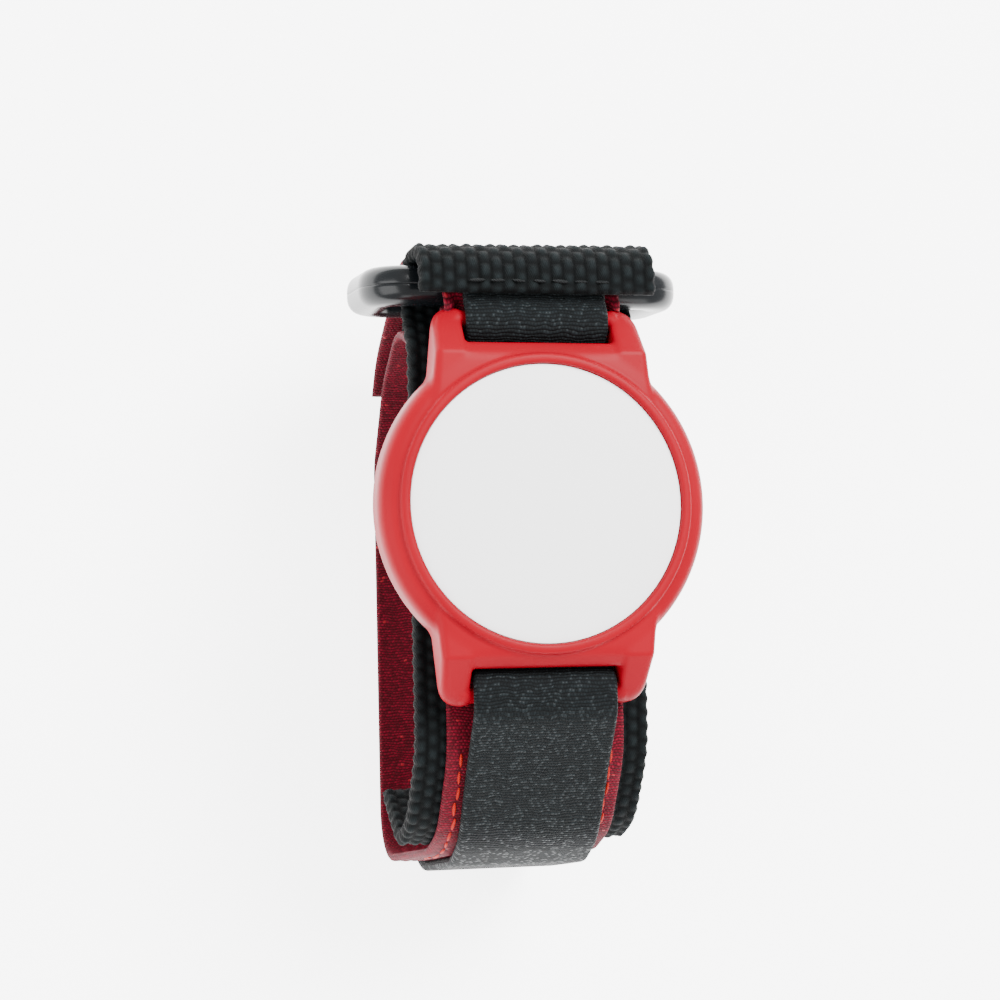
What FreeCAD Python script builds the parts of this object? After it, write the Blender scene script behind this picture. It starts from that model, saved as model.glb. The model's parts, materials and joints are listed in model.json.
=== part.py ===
"""Wrist pin holder: a flat-faced magnetic case on a hook-and-loop wrist strap.

Axes: +X across the strap, +Y towards the ring, +Z out of the face.
Origin: on the surface that the strap's back rests on, straight below the face's centre.
The strap runs in the YZ plane, so every tape is a band drawn there and extruded along X.
"""
import FreeCAD, Part
import math
import os

import Sketcher
from FreeCAD import Placement, Rotation, Vector

SIZES = [
    # alias, millimetres, what it is
    ("face_height", 44.0, "face of the disc above the resting surface"),
    ("disc_dia", 30.0, "white face disc"),
    ("disc_thick", 0.8, "white face disc"),
    ("bezel_width", 1.15, "raised ring round the disc"),
    ("bezel_rise", 0.5, "bezel above the disc"),
    ("case_dia", 36.4, "round body of the case"),
    ("case_depth", 5.0, "disc face to case underside"),
    ("shoulder_drop", 0.2, "shoulder of the body below the disc face"),
    ("rim_round", 1.3, "rounded outer edge of the body"),
    ("web_thick", 0.6, "floor of the shell under the disc"),
    ("back_dia", 30.4, "back plate"),
    ("back_thick", 0.8, "back plate"),
    ("magnet_dia", 26.0, "magnet, steel plate and foam"),
    ("magnet_thick", 1.6, "magnet"),
    ("plate_thick", 0.6, "steel plate"),
    ("lug_span", 43.2, "lug tip to lug tip"),
    ("lug_root_width", 24.2, "lug block at the body"),
    ("lug_tip_width", 22.6, "lug block at the tips"),
    ("lug_root_span", 27.0, "length of the lug block's widest part"),
    ("lug_tip_round", 1.4, "corners of the lug tips seen from the face"),
    ("ledge_span", 35.0, "straight wall to straight wall, between the lugs"),
    ("bevel_run", 1.1, "start of the lugs' slope, inboard of the wall"),
    ("lug_slope", 35.0, "degrees that the lugs fall towards their tips"),
    ("bevel_drop", 1.0, "bevel above the straight wall"),
    ("ramp_run", 2.3, "ramp under the wall that the tape rises along"),
    ("lug_bar_dia", 1.8, "moulded bar between two lugs"),
    ("lug_bar_span", 40.6, "bar to bar"),
    ("lug_bar_lift", 1.05, "bar's axis above the case underside"),
    ("tape_width", 16.0, "narrow outer tape"),
    ("tape_thick", 1.2, "narrow outer tape"),
    ("lining_width", 20.0, "lining tape"),
    ("lining_thick", 0.9, "lining tape"),
    ("pad_width", 26.6, "webbing pad next to the skin"),
    ("pad_thick", 1.8, "webbing pad"),
    ("layer_gap", 0.1, "between layers of the strap"),
    ("running_gap", 0.3, "between pieces that move past each other"),
    ("slot_side_gap", 0.3, "tape to lug, each side"),
    ("ring_bar_dia", 4.4, "section of the ring"),
    ("ring_side_gap", 0.4, "webbing to the ring's side bar"),
    ("ring_reach", 11.5, "near bar to far bar"),
    ("ring_corner", 2.8, "corner of the ring, at the middle of its section"),
    ("ring_lean", -2.0, "degrees that the ring leans inwards, so it leans outwards"),
    ("ring_swing", 4.0, "degrees that the ring rocks each way"),
    ("near_bar_y", 24.4, "near bar from the face's centre"),
    ("near_bar_drop", 7.5, "near bar below the disc face"),
    ("flap_end_y", 22.9, "cut end of the webbing's flap"),
    ("front_end_y", 25.0, "ends of the tape and lining under the flap"),
    ("pad_tail", 8.5, "webbing's inner end, tucked in from its last turn"),
    ("pad_tuck", 54.0, "degrees that the tucked end falls towards the back"),
    ("bottom_reach", 41.9, "outer face of the strap's turn, from the face's centre"),
    ("turn_lean", 2.4, "how much further out the strap's side is at the back"),
    ("turn_round", 6.6, "turn between the side and the back"),
    ("back_flat_y", 8.0, "where the flat back turns up to the ring"),
    ("tab_end", 4.7, "tab past the strap's last bend"),
    ("hinge_drop", 23.5, "fold line of the tab below the disc face"),
    ("hook_thick", 1.0, "hook patch"),
    ("hook_margin", 0.8, "hook patch from the tab's end and edges"),
    ("hook_start", 1.5, "hook patch below the tab's upper bend"),
    ("thread", 0.3, "sewing thread as it lies"),
    ("seam_inset", 0.9, "seam from the edge that it holds"),
    ("seam_margin", 0.15, "lining's seams from the narrow tape's edges"),
]


# ---------------------------------------------------------------- document and sizes

doc = FreeCAD.newDocument("WristPinHolder")
sheet = doc.addObject("Spreadsheet::Sheet", "Sizes")
for row, (alias, value, note) in enumerate(SIZES, start=1):
    sheet.set("A%d" % row, alias)
    sheet.set("B%d" % row, str(value))
    sheet.set("C%d" % row, note)
    sheet.setAlias("B%d" % row, alias)
doc.recompute()

pieces = []


def size(alias):
    """The value that the sheet holds for a driving dimension."""
    return float(sheet.get(alias))


def keep(shape_object, label):
    """Name a finished sub-part, which is written to a file of that name."""
    shape_object.Label = label
    pieces.append(shape_object)
    return shape_object


def bind(target, **expressions):
    """Bind properties to expressions over the sheet; __ stands for a dot."""
    for name, expression in expressions.items():
        target.setExpression(name.replace("__", "."), expression)
    return target


# ---------------------------------------------------------------- primitives and sketches

def cylinder(name, diameter, length, base):
    """An upright cylinder whose diameter, height and base height follow the sheet."""
    return bind(doc.addObject("Part::Cylinder", name),
                Radius="(%s) / 2" % diameter, Height=length, Placement__Base__z=base)


def polygon(name, corners, in_side_plane=False):
    """A closed sketch whose corners are pairs of expressions, on XY or on YZ."""
    sketch = doc.addObject("Sketcher::SketchObject", name)
    if in_side_plane:
        sketch.Placement = Placement(Vector(0, 0, 0), Rotation(Vector(1, 1, 1), 120))
    count = len(corners)
    start = [Vector(10 * math.cos(2 * math.pi * i / count), 10 * math.sin(2 * math.pi * i / count), 0)
             for i in range(count)]
    for i in range(count):
        sketch.addGeometry(Part.LineSegment(start[i], start[(i + 1) % count]), False)
    for i in range(count):
        sketch.addConstraint(Sketcher.Constraint("Coincident", i, 2, (i + 1) % count, 1))
    for i, pair in enumerate(corners):
        for kind, rough, expression in zip(("DistanceX", "DistanceY"), start[i], pair):
            index = sketch.addConstraint(Sketcher.Constraint(kind, -1, 1, i, 1, rough + 0.1))
            sketch.setExpression("Constraints[%d]" % index, expression)
    return sketch


def extrude(name, sketch, direction, length, both_ways=False):
    """A solid pulled out of a sketch."""
    solid = doc.addObject("Part::Extrusion", name)
    solid.Base = sketch
    solid.DirMode = "Custom"
    solid.Dir = direction
    solid.Solid = True
    solid.Symmetric = both_ways
    return bind(solid, LengthFwd=length)


def fuse(name, solids):
    joined = doc.addObject("Part::MultiFuse", name)
    joined.Shapes = solids
    joined.Refine = True
    return joined


def cut(name, base, tool):
    result = doc.addObject("Part::Cut", name)
    result.Base = base
    result.Tool = tool
    result.Refine = True
    return result


def round_edges(name, base, wanted, radius):
    """Fillet the edges for which wanted(edge) is true."""
    doc.recompute()
    fillet = doc.addObject("Part::Fillet", name)
    fillet.Base = base
    fillet.Edges = [(i, radius, radius) for i, edge in enumerate(base.Shape.Edges, start=1) if wanted(edge)]
    return fillet


# ---------------------------------------------------------------- case

UNDERSIDE = "Sizes.face_height - Sizes.case_depth"
SHOULDER = "Sizes.face_height - Sizes.shoulder_drop"
BODY_HEIGHT = "Sizes.case_depth - Sizes.shoulder_drop"
LEDGE = "Sizes.ledge_span / 2"
CREST = "(Sizes.ledge_span / 2 - Sizes.bevel_run)"
SLOT_WIDTH = "Sizes.tape_width + 2 * Sizes.slot_side_gap"
RECESS_DIA = "Sizes.disc_dia + 2 * Sizes.layer_gap"
CAVITY_DIA = "Sizes.magnet_dia + 2 * Sizes.layer_gap"
BACK_SEAT_DIA = "Sizes.back_dia + 2 * Sizes.layer_gap"
BEYOND = "10 mm"


def lug_blank():
    """The block that carries both pairs of lugs, narrowing to its tips."""
    root, tip = "Sizes.lug_root_width / 2", "Sizes.lug_tip_width / 2"
    wide, long = "Sizes.lug_root_span / 2", "Sizes.lug_span / 2"
    plan = polygon("LugPlan", [(root, wide), (tip, long), ("-" + tip, long), ("-" + root, wide),
                               ("-" + root, "-" + wide), ("-" + tip, "-" + long),
                               (tip, "-" + long), (root, "-" + wide)])
    bind(plan, Placement__Base__z=UNDERSIDE)
    block = extrude("LugBlock", plan, Vector(0, 0, 1), BODY_HEIGHT)
    tip_y = size("lug_span") / 2

    def is_tip_corner(edge):
        box = edge.BoundBox
        return box.ZLength > 1 and abs(abs(box.Center.y) - tip_y) < 0.01

    return round_edges("LugTips", block, is_tip_corner, size("lug_tip_round"))


def lug_slope(name, side):
    """What is cut away above a pair of lugs, so that they fall to their tips."""
    crest, tip = side + CREST, side + "(Sizes.lug_span / 2 + 2)"
    drop = "(Sizes.lug_span / 2 + 2 - %s) * tan(Sizes.lug_slope * 1 deg)" % CREST
    profile = polygon(name + "Profile", [(crest, SHOULDER), (tip, "%s - %s" % (SHOULDER, drop)),
                                         (tip, SHOULDER + " + 3"), (crest, SHOULDER + " + 3")], True)
    return extrude(name, profile, Vector(1, 0, 0), "2 * Sizes.lug_root_width", True)


def slot(name, side):
    """The gap between two lugs: bevel, straight wall, and the ramp that the tape rises along."""
    wall, far = side + "(%s)" % LEDGE, side + "(Sizes.lug_span / 2 + 2)"
    crest = side + CREST
    ramp = side + "(%s - Sizes.ramp_run)" % LEDGE
    bevel_foot = SHOULDER + " - Sizes.bevel_drop"
    ramp_top = UNDERSIDE + " + Sizes.ramp_run * 0.9"
    profile = polygon(name + "Profile", [(crest, SHOULDER + " + 3"), (crest, SHOULDER), (wall, bevel_foot),
                                         (wall, ramp_top), (ramp, UNDERSIDE), (ramp, UNDERSIDE + " - 1"),
                                         (far, UNDERSIDE + " - 1"), (far, SHOULDER + " + 3")], True)
    return extrude(name, profile, Vector(1, 0, 0), SLOT_WIDTH, True)


def lug_bar(name, side):
    """A bar moulded across the gap, which the tape passes over."""
    bar = doc.addObject("Part::Cylinder", name)
    bar.Placement = Placement(Vector(0, 0, 0), Rotation(Vector(0, 1, 0), 90))
    return bind(bar, Radius="Sizes.lug_bar_dia / 2", Height="%s + 2" % SLOT_WIDTH,
                Placement__Base__x="-(%s + 2) / 2" % SLOT_WIDTH,
                Placement__Base__y=side + "Sizes.lug_bar_span / 2",
                Placement__Base__z=UNDERSIDE + " + Sizes.lug_bar_lift")


def case_shell():
    body = cylinder("RoundBody", "Sizes.case_dia", BODY_HEIGHT, UNDERSIDE)
    top = size("face_height") - size("shoulder_drop")

    def is_top_rim(edge):
        return edge.BoundBox.ZMin > top - 0.01

    rounded = round_edges("RoundBodyRim", body, is_top_rim, size("rim_round"))
    bezel = cylinder("Bezel", "Sizes.disc_dia + 2 * Sizes.bezel_width",
                     "Sizes.bezel_rise + Sizes.case_depth", UNDERSIDE)
    blank = fuse("ShellBlank", [rounded, lug_blank(), bezel])
    cavity_depth = "Sizes.case_depth - Sizes.disc_thick - Sizes.web_thick"
    removed = [lug_slope("SlopeRing", ""), lug_slope("SlopeTurn", "-"),
               slot("SlotRing", ""), slot("SlotTurn", "-"),
               cylinder("DiscRecess", RECESS_DIA, BEYOND, "Sizes.face_height - Sizes.disc_thick"),
               cylinder("Cavity", CAVITY_DIA, cavity_depth, UNDERSIDE),
               cylinder("BackSeat", BACK_SEAT_DIA, "Sizes.back_thick + 1", UNDERSIDE + " - 1")]
    hollow = cut("ShellHollow", blank, fuse("ShellRemoved", removed))
    keep(fuse("CaseShell", [hollow, lug_bar("BarRing", ""), lug_bar("BarTurn", "-")]), "case_shell")


def case_inside():
    """What the shell holds, from the face down."""
    under_web = "Sizes.face_height - Sizes.disc_thick - Sizes.web_thick"
    magnet_foot = under_web + " - Sizes.magnet_thick"
    plate_foot = magnet_foot + " - Sizes.plate_thick"
    back_top = UNDERSIDE + " + Sizes.back_thick"
    foam_thick = "%s - (%s)" % (plate_foot, back_top)
    keep(cylinder("FaceDisc", "Sizes.disc_dia", "Sizes.disc_thick",
                  "Sizes.face_height - Sizes.disc_thick"), "face_disc")
    keep(cylinder("Magnet", "Sizes.magnet_dia", "Sizes.magnet_thick", magnet_foot), "magnet")
    keep(cylinder("SteelPlate", "Sizes.magnet_dia", "Sizes.plate_thick", plate_foot), "steel_plate")
    keep(cylinder("FoamDisc", "Sizes.magnet_dia", foam_thick, back_top), "foam_disc")
    keep(cylinder("CaseBack", "Sizes.back_dia", "Sizes.back_thick", UNDERSIDE), "case_back")


# ---------------------------------------------------------------- ring

def ring():
    """A moulded ring of round section: two bars, two sides and four quarter-torus corners."""
    half_width = "(Sizes.pad_width / 2 + Sizes.ring_side_gap + Sizes.ring_bar_dia / 2)"
    straight_x, straight_y = half_width + " - Sizes.ring_corner", "Sizes.ring_reach - 2 * Sizes.ring_corner"
    solids = []
    for name, height in (("NearBar", "0 mm"), ("FarBar", "-Sizes.ring_reach")):
        bar = doc.addObject("Part::Cylinder", name)
        bar.Placement = Placement(Vector(0, 0, 0), Rotation(Vector(0, 1, 0), 90))
        solids.append(bind(bar, Radius="Sizes.ring_bar_dia / 2", Height="2 * (%s)" % straight_x,
                           Placement__Base__x="-(%s)" % straight_x, Placement__Base__z=height))
    for name, sign in (("LeftSide", "-"), ("RightSide", "")):
        solids.append(bind(doc.addObject("Part::Cylinder", name), Radius="Sizes.ring_bar_dia / 2",
                           Height=straight_y, Placement__Base__x=sign + half_width,
                           Placement__Base__z="-Sizes.ring_reach + Sizes.ring_corner"))
    for index, (sign, height) in enumerate((("", "-Sizes.ring_corner"), ("-", "-Sizes.ring_corner"),
                                            ("-", "-Sizes.ring_reach + Sizes.ring_corner"),
                                            ("", "-Sizes.ring_reach + Sizes.ring_corner"))):
        corner = doc.addObject("Part::Torus", "Corner%d" % (index + 1))
        corner.Placement = Placement(Vector(0, 0, 0), Rotation(Vector(0, 1, 0), -90 * index)
                                     * Rotation(Vector(1, 0, 0), 90))
        corner.Angle3 = 90
        solids.append(bind(corner, Radius1="Sizes.ring_corner", Radius2="Sizes.ring_bar_dia / 2",
                           Placement__Base__x="%s(%s)" % (sign, straight_x), Placement__Base__z=height))
    whole = fuse("Ring", solids)
    whole.Placement = Placement(Vector(0, 0, 0), Rotation(Vector(1, 0, 0), -size("ring_lean")))
    bind(whole, Placement__Base__y="Sizes.near_bar_y",
         Placement__Base__z="Sizes.face_height - Sizes.near_bar_drop")
    keep(whole, "ring")


# ---------------------------------------------------------------- bands of tape in the YZ plane

def line_meet(a, b, c, d):
    """Where the line through a and b meets the line through c and d."""
    (ax, ay), (bx, by), (cx, cy), (dx, dy) = a, b, c, d
    cross = (bx - ax) * (dy - cy) - (by - ay) * (dx - cx)
    t = ((cx - ax) * (dy - cy) - (cy - ay) * (dx - cx)) / cross
    return ax + t * (bx - ax), ay + t * (by - ay)


def shifted(a, b, distance):
    """The segment from a to b moved to its left."""
    length = math.hypot(b[0] - a[0], b[1] - a[1])
    nx, ny = -(b[1] - a[1]) / length * distance, (b[0] - a[0]) / length * distance
    return (a[0] + nx, a[1] + ny), (b[0] + nx, b[1] + ny)


def parallel(route, distance):
    """A route, as (y, z, radius) corners, moved to its left, with its radii changed to suit."""
    sides = [shifted(p[:2], q[:2], distance) for p, q in zip(route, route[1:])]
    moved = [sides[0][0] + (0.0,)]
    for before, after, (y, z, radius) in zip(sides, sides[1:], route[1:-1]):
        turn = ((before[1][0] - before[0][0]) * (after[1][1] - after[0][1])
                - (before[1][1] - before[0][1]) * (after[1][0] - after[0][0]))
        moved.append(line_meet(*before, *after) + (radius - distance * math.copysign(1.0, turn),))
    return moved + [sides[-1][1] + (0.0,)]


def rounded_edges(route):
    """The lines and tangent arcs of a route, in the YZ plane."""
    points = [Vector(0, y, z) for y, z, radius in route]
    edges, start = [], points[0]

    def straight(a, b):
        return [Part.LineSegment(a, b).toShape()] if (b - a).Length > 1e-6 else []

    for before, corner, after, (y, z, radius) in zip(points, points[1:], points[2:], route[1:-1]):
        back, ahead = (before - corner).normalize(), (after - corner).normalize()
        half = back.getAngle(ahead) / 2
        run = radius / math.tan(half)
        middle = corner + (back + ahead).normalize() * (radius / math.sin(half) - radius)
        first, last = corner + back * run, corner + ahead * run
        edges += straight(start, first)
        edges.append(Part.Arc(first, middle, last).toShape())
        start = last
    return edges + straight(start, points[-1])


def band(label, route, thick, width, middle_x=0.0):
    """A tape of the given thickness about its route, extruded across the strap."""
    outer, inner = parallel(route, -thick / 2), parallel(route, thick / 2)
    ends = [Part.LineSegment(Vector(0, *outer[i][:2]), Vector(0, *inner[i][:2])).toShape() for i in (0, -1)]
    outline = Part.Wire(Part.__sortEdges__(rounded_edges(outer) + rounded_edges(inner) + ends))
    solid = Part.Face(outline).extrude(Vector(width, 0, 0))
    feature = doc.addObject("Part::Feature", "".join(word.title() for word in label.split("_")))
    feature.Shape = solid
    feature.Placement = Placement(Vector(middle_x - width / 2, 0, 0), Rotation())
    return keep(feature, label)


# ---------------------------------------------------------------- the strap's routes

FACE = size("face_height")
TAPE, LINING, PAD = size("tape_thick"), size("lining_thick"), size("pad_thick")
LAYER, RUNNING = size("layer_gap"), size("running_gap")
LINING_STEP = TAPE / 2 + LAYER + LINING / 2
PAD_STEP = LINING_STEP + LINING / 2 + LAYER + PAD / 2

# heights, at the middle of each layer, where the strap passes under the case
TAPE_UNDER = FACE - size("case_depth") - LAYER - TAPE / 2
LINING_UNDER = TAPE_UNDER - LINING_STEP
PAD_UNDER = TAPE_UNDER - PAD_STEP

# heights over the lug bars, and over the ring's near bar
BAR_Y = size("lug_bar_span") / 2
TAPE_OVER_BAR = (FACE - size("case_depth") + size("lug_bar_lift") + size("lug_bar_dia") / 2
                 + LAYER + TAPE / 2)
RING_R = size("ring_bar_dia") / 2
NEAR_Y, NEAR_Z = size("near_bar_y"), FACE - size("near_bar_drop")
LINING_OVER_RING = NEAR_Z + RING_R + RUNNING + LINING / 2
TAPE_OVER_RING = LINING_OVER_RING + LINING_STEP
FLAP_OVER_RING = TAPE_OVER_RING + TAPE / 2 + LAYER + PAD / 2
LOOP_R = RING_R + RUNNING + PAD / 2

LEAN = math.radians(size("ring_lean"))
FAR_Y = NEAR_Y - size("ring_reach") * math.sin(LEAN)
FAR_Z = NEAR_Z - size("ring_reach") * math.cos(LEAN)
SWAY = size("ring_reach") * math.sin(math.radians(size("ring_swing")))
FOLD_R = RING_R + SWAY + RUNNING + TAPE / 2

BACK_Z = TAPE / 2
TURN_Y = TAPE / 2 - size("bottom_reach")
FRONT_END = size("front_end_y")
LUG_TIP_Y = size("lug_span") / 2
RAMP_Y = size("ledge_span") / 2 - 1.1
HINGE_Z = FACE - size("hinge_drop")


def strap_line():
    """Middle of the narrow tape from the last lug bar, round the wrist, to the fold on the ring."""
    lean_in = 2.7
    return [(-LUG_TIP_Y - 0.7, TAPE_OVER_BAR, 2.6),
            (-LUG_TIP_Y - 14.7, FACE - 11.7, 10.0),
            (TURN_Y + size("turn_lean"), FACE - 18.0, 9.0),
            (TURN_Y, BACK_Z, size("turn_round")),
            (size("back_flat_y"), BACK_Z, 7.0),
            (FAR_Y - 7.0, BACK_Z + 6.2, 12.0),
            (FAR_Y - FOLD_R + lean_in, FACE - 28.5, 6.0),
            (FAR_Y - FOLD_R, FACE - 21.0, 8.0),
            (FAR_Y - FOLD_R, FAR_Z + FOLD_R, FOLD_R),
            (FAR_Y + FOLD_R, FAR_Z + FOLD_R, FOLD_R),
            (FAR_Y + FOLD_R, HINGE_Z, 0.0)]


def joined(front, line, step):
    """A layer that leaves the case level and then follows the strap line at a distance."""
    layer = parallel(line, step)
    level = front[-1]
    y, z = line_meet(level[:2], (level[0] - 1.0, level[1]), layer[0][:2], layer[1][:2])
    return front[:-1] + [(y, z, 9.0)] + layer[1:]


def tape_route():
    line = strap_line()
    return [(FRONT_END, TAPE_OVER_RING, 0.0), (LUG_TIP_Y + 0.6, TAPE_OVER_RING, 1.3),
            (LUG_TIP_Y - 0.7, TAPE_OVER_BAR, 1.3), (BAR_Y - 1.3, TAPE_OVER_BAR, 1.4),
            (RAMP_Y, TAPE_UNDER, 1.6), (-RAMP_Y, TAPE_UNDER, 1.6), (-BAR_Y + 1.3, TAPE_OVER_BAR, 1.5)] + line


def lining_route():
    front = [(FRONT_END, LINING_OVER_RING, 0.0), (NEAR_Y - 1.2, LINING_OVER_RING, 1.5),
             (LUG_TIP_Y - 1.2, LINING_UNDER, 2.0), (0.0, LINING_UNDER, 0.0)]
    return joined(front, strap_line(), LINING_STEP)


def pad_route():
    under_ring, loop_y = NEAR_Z - LOOP_R, NEAR_Y + LOOP_R
    front = [(size("flap_end_y"), FLAP_OVER_RING, 0.0), (loop_y, FLAP_OVER_RING, LOOP_R - 0.4),
             (loop_y, under_ring, LOOP_R), (NEAR_Y - 2.4, under_ring, 3.0), (NEAR_Y - 6.9, PAD_UNDER, 3.0),
             (0.0, PAD_UNDER, 0.0)]
    whole = joined(front, strap_line()[:4], PAD_STEP)
    turn_y, turn_z, _ = whole[-2]
    tuck, tail = math.radians(size("pad_tuck")), size("pad_tail")
    end = (turn_y + tail * math.cos(tuck), turn_z - tail * math.sin(tuck), 0.0)
    return whole[:-2] + [(turn_y, turn_z, 2.4), end]


# ---------------------------------------------------------------- the tab

def tab_lines():
    """The middle of the tab's tape, which closes on the outside of the strap."""
    line = strap_line()
    step = TAPE / 2 + RUNNING + size("hook_thick") + LAYER + TAPE / 2
    outside = parallel(line[4:7], -step)
    start = [(FAR_Y + FOLD_R, HINGE_Z - LAYER, 0.0), (FAR_Y + FOLD_R, HINGE_Z - 1.6, 3.0)]
    landing = along(outside[2], outside[1], 0.8)
    tip = along(outside[1], outside[0], size("tab_end"))
    return start + [landing + (6.0,), outside[1][:2] + (12.0,), tip + (0.0,)]


def along(a, b, distance):
    """The point at a distance from a towards b."""
    length = math.hypot(b[0] - a[0], b[1] - a[1])
    return a[0] + (b[0] - a[0]) * distance / length, a[1] + (b[1] - a[1]) * distance / length


def hook_route(tab):
    """The hook patch on the inner face of the tab, short of its end."""
    margin = size("hook_margin")
    begin = along(tab[2], tab[3], size("hook_start")) + (0.0,)
    end = along(tab[4], tab[3], margin) + (0.0,)
    return parallel([begin, tab[3], end], -(TAPE / 2 + LAYER + size("hook_thick") / 2))


# ---------------------------------------------------------------- seams

def cross_seam(label, a, b, distance, lift, length):
    """A row of thread across the strap, on the left of the line from a to b."""
    y, z = along(a, b, distance)
    slope = math.atan2(b[1] - a[1], b[0] - a[0])
    row = doc.addObject("Part::Box", "".join(word.title() for word in label.split("_")))
    row.Placement = Placement(Vector(-length / 2, y - lift * math.sin(slope), z + lift * math.cos(slope)),
                              Rotation(Vector(1, 0, 0), math.degrees(slope)))
    row.Length = length
    return keep(bind(row, Width="Sizes.thread * 2", Height="Sizes.thread"), label)


def long_seams():
    """The two rows of thread that hold the lining, one each side of the narrow tape."""
    line, thread = strap_line(), size("thread")
    start = along(line[1], line[0], 9.0)
    end = along(line[2], line[3], 7.0)
    route = parallel([start + (0.0,), line[1], line[2], end + (0.0,)], LINING_STEP - (LINING + thread) / 2)
    offset = size("tape_width") / 2 + size("seam_margin") + thread
    band("tape_seam_left", route, thread, 2 * thread, -offset)
    band("tape_seam_right", route, thread, 2 * thread, offset)


def make_strap():
    tape, lining, pad = tape_route(), lining_route(), pad_route()
    inset = size("seam_inset")
    band("strap_tape", tape, TAPE, size("tape_width"))
    band("lining_tape", lining, LINING, size("lining_width"))
    band("webbing_pad", pad, PAD, size("pad_width"))
    cross_seam("flap_seam", pad[0], pad[1], inset, PAD / 2, size("tape_width"))
    cross_seam("pad_end_seam", pad[-2], pad[-3], 2 * inset, -PAD / 2 - size("thread"), size("lining_width"))
    long_seams()


def make_tab():
    tab = tab_lines()
    outside = parallel(tab, LINING_STEP)
    hook = hook_route(tab)
    hook_width = size("tape_width") - 2 * size("hook_margin")
    hook_end = size("hook_margin") + size("seam_inset")
    band("tab_tape", tab, TAPE, size("tape_width"))
    band("tab_lining", outside, LINING, size("lining_width"))
    band("hook_patch", hook, size("hook_thick"), hook_width)
    cross_seam("hook_seam_upper", outside[2], outside[3], size("hook_start") + 2 * size("seam_inset"),
               LINING / 2, hook_width)
    cross_seam("hook_seam_lower", outside[4], outside[3], hook_end, -LINING / 2 - size("thread"), hook_width)


case_shell()
case_inside()
ring()
make_strap()
make_tab()
doc.recompute()

# ---------------------------------------------------------------- check and write

for item in doc.Objects:
    if any(state in ("Invalid", "Error") for state in item.State):
        raise RuntimeError("%s did not compute: %s" % (item.Name, item.State))
for piece in pieces:
    if piece.Shape.isNull() or not piece.Shape.isValid():
        raise RuntimeError("%s has no valid shape" % piece.Label)

os.makedirs("parts", exist_ok=True)
for piece in pieces:
    piece.Shape.exportStep("parts/%s.step" % piece.Label)
    box = piece.Shape.BoundBox
    print("%-18s %8.1f mm3  x %6.2f..%6.2f  y %6.2f..%6.2f  z %6.2f..%6.2f"
          % (piece.Label, piece.Shape.Volume, box.XMin, box.XMax, box.YMin, box.YMax, box.ZMin, box.ZMax))
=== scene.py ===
"""Looks of the wrist pin holder: moulded case, white face, woven tapes, ring, seams and stage.

Everything is made in millimetres in the frame of the CAD model, and becomes metres in new_mesh().
"""
import json
import math

import bpy
import numpy as np
from bpy.props import FloatProperty, FloatVectorProperty, IntProperty, PointerProperty
from mathutils import Matrix, Vector


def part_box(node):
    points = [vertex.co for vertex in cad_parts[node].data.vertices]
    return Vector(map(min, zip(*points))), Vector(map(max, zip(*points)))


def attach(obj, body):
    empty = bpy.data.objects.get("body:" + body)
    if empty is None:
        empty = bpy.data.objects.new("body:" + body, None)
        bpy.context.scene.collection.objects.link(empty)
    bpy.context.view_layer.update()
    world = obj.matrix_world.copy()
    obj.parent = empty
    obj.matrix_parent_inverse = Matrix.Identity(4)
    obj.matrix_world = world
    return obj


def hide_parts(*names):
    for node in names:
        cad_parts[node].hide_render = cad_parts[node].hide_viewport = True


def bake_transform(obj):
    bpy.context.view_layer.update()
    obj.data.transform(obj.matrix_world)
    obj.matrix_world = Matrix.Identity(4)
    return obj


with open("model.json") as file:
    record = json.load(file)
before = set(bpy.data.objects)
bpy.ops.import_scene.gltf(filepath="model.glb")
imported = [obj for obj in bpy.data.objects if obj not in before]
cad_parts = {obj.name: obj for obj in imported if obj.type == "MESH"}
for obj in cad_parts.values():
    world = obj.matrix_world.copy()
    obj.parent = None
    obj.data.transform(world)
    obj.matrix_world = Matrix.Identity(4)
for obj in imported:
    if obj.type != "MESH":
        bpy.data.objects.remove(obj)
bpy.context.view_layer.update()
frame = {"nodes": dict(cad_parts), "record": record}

bl_info = {
    "name": "Wrist pin holder",
    "version": (1, 0, 0),
    "blender": (4, 5, 0),
    "location": "3D View > Sidebar > Pin Holder",
    "description": "Builds the looks of a wrist pin holder round its CAD frame",
    "category": "Object",
}

MM = 0.001


# ---------------------------------------------------------------- sizes taken from the frame

def low(node):
    """Lowest corner of a CAD node, in millimetres."""
    return np.array(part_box(node)[0]) / MM


def high(node):
    """Highest corner of a CAD node, in millimetres."""
    return np.array(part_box(node)[1]) / MM


def joint_place(name):
    """The pivot of a joint, in millimetres."""
    found = [j for j in frame["record"]["behaviour"]["joints"] if j["name"] == name][0]
    return np.array(found["pos_m"]) / MM


FACE_Z = high("face_disc")[2]
DISC_R = high("face_disc")[0]
CASE_R = high("case_shell")[0]
BEZEL_Z = high("case_shell")[2]
UNDER_Z = low("case_shell")[2]
LUG_TIP_Y = high("case_shell")[1]
TAPE_W = 2 * high("strap_tape")[0]
LINING_W = 2 * high("lining_tape")[0]
PAD_W = 2 * high("webbing_pad")[0]
BACK_R = high("case_back")[0]
BACK_T = high("case_back")[2] - UNDER_Z
CAVITY_R = high("magnet")[0] + 0.1
CAVITY_Z = high("magnet")[2]
# where the strap's outer face would reach at the lower turn, if the turn were not rounded
TURN_OUT = -41.9
FLAP_Y, FRONT_Y = 22.9, 25.0
_, NEAR_Y, NEAR_Z = joint_place("ring_rock")
_, HINGE_Y, HINGE_Z = joint_place("tab_peel")

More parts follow.
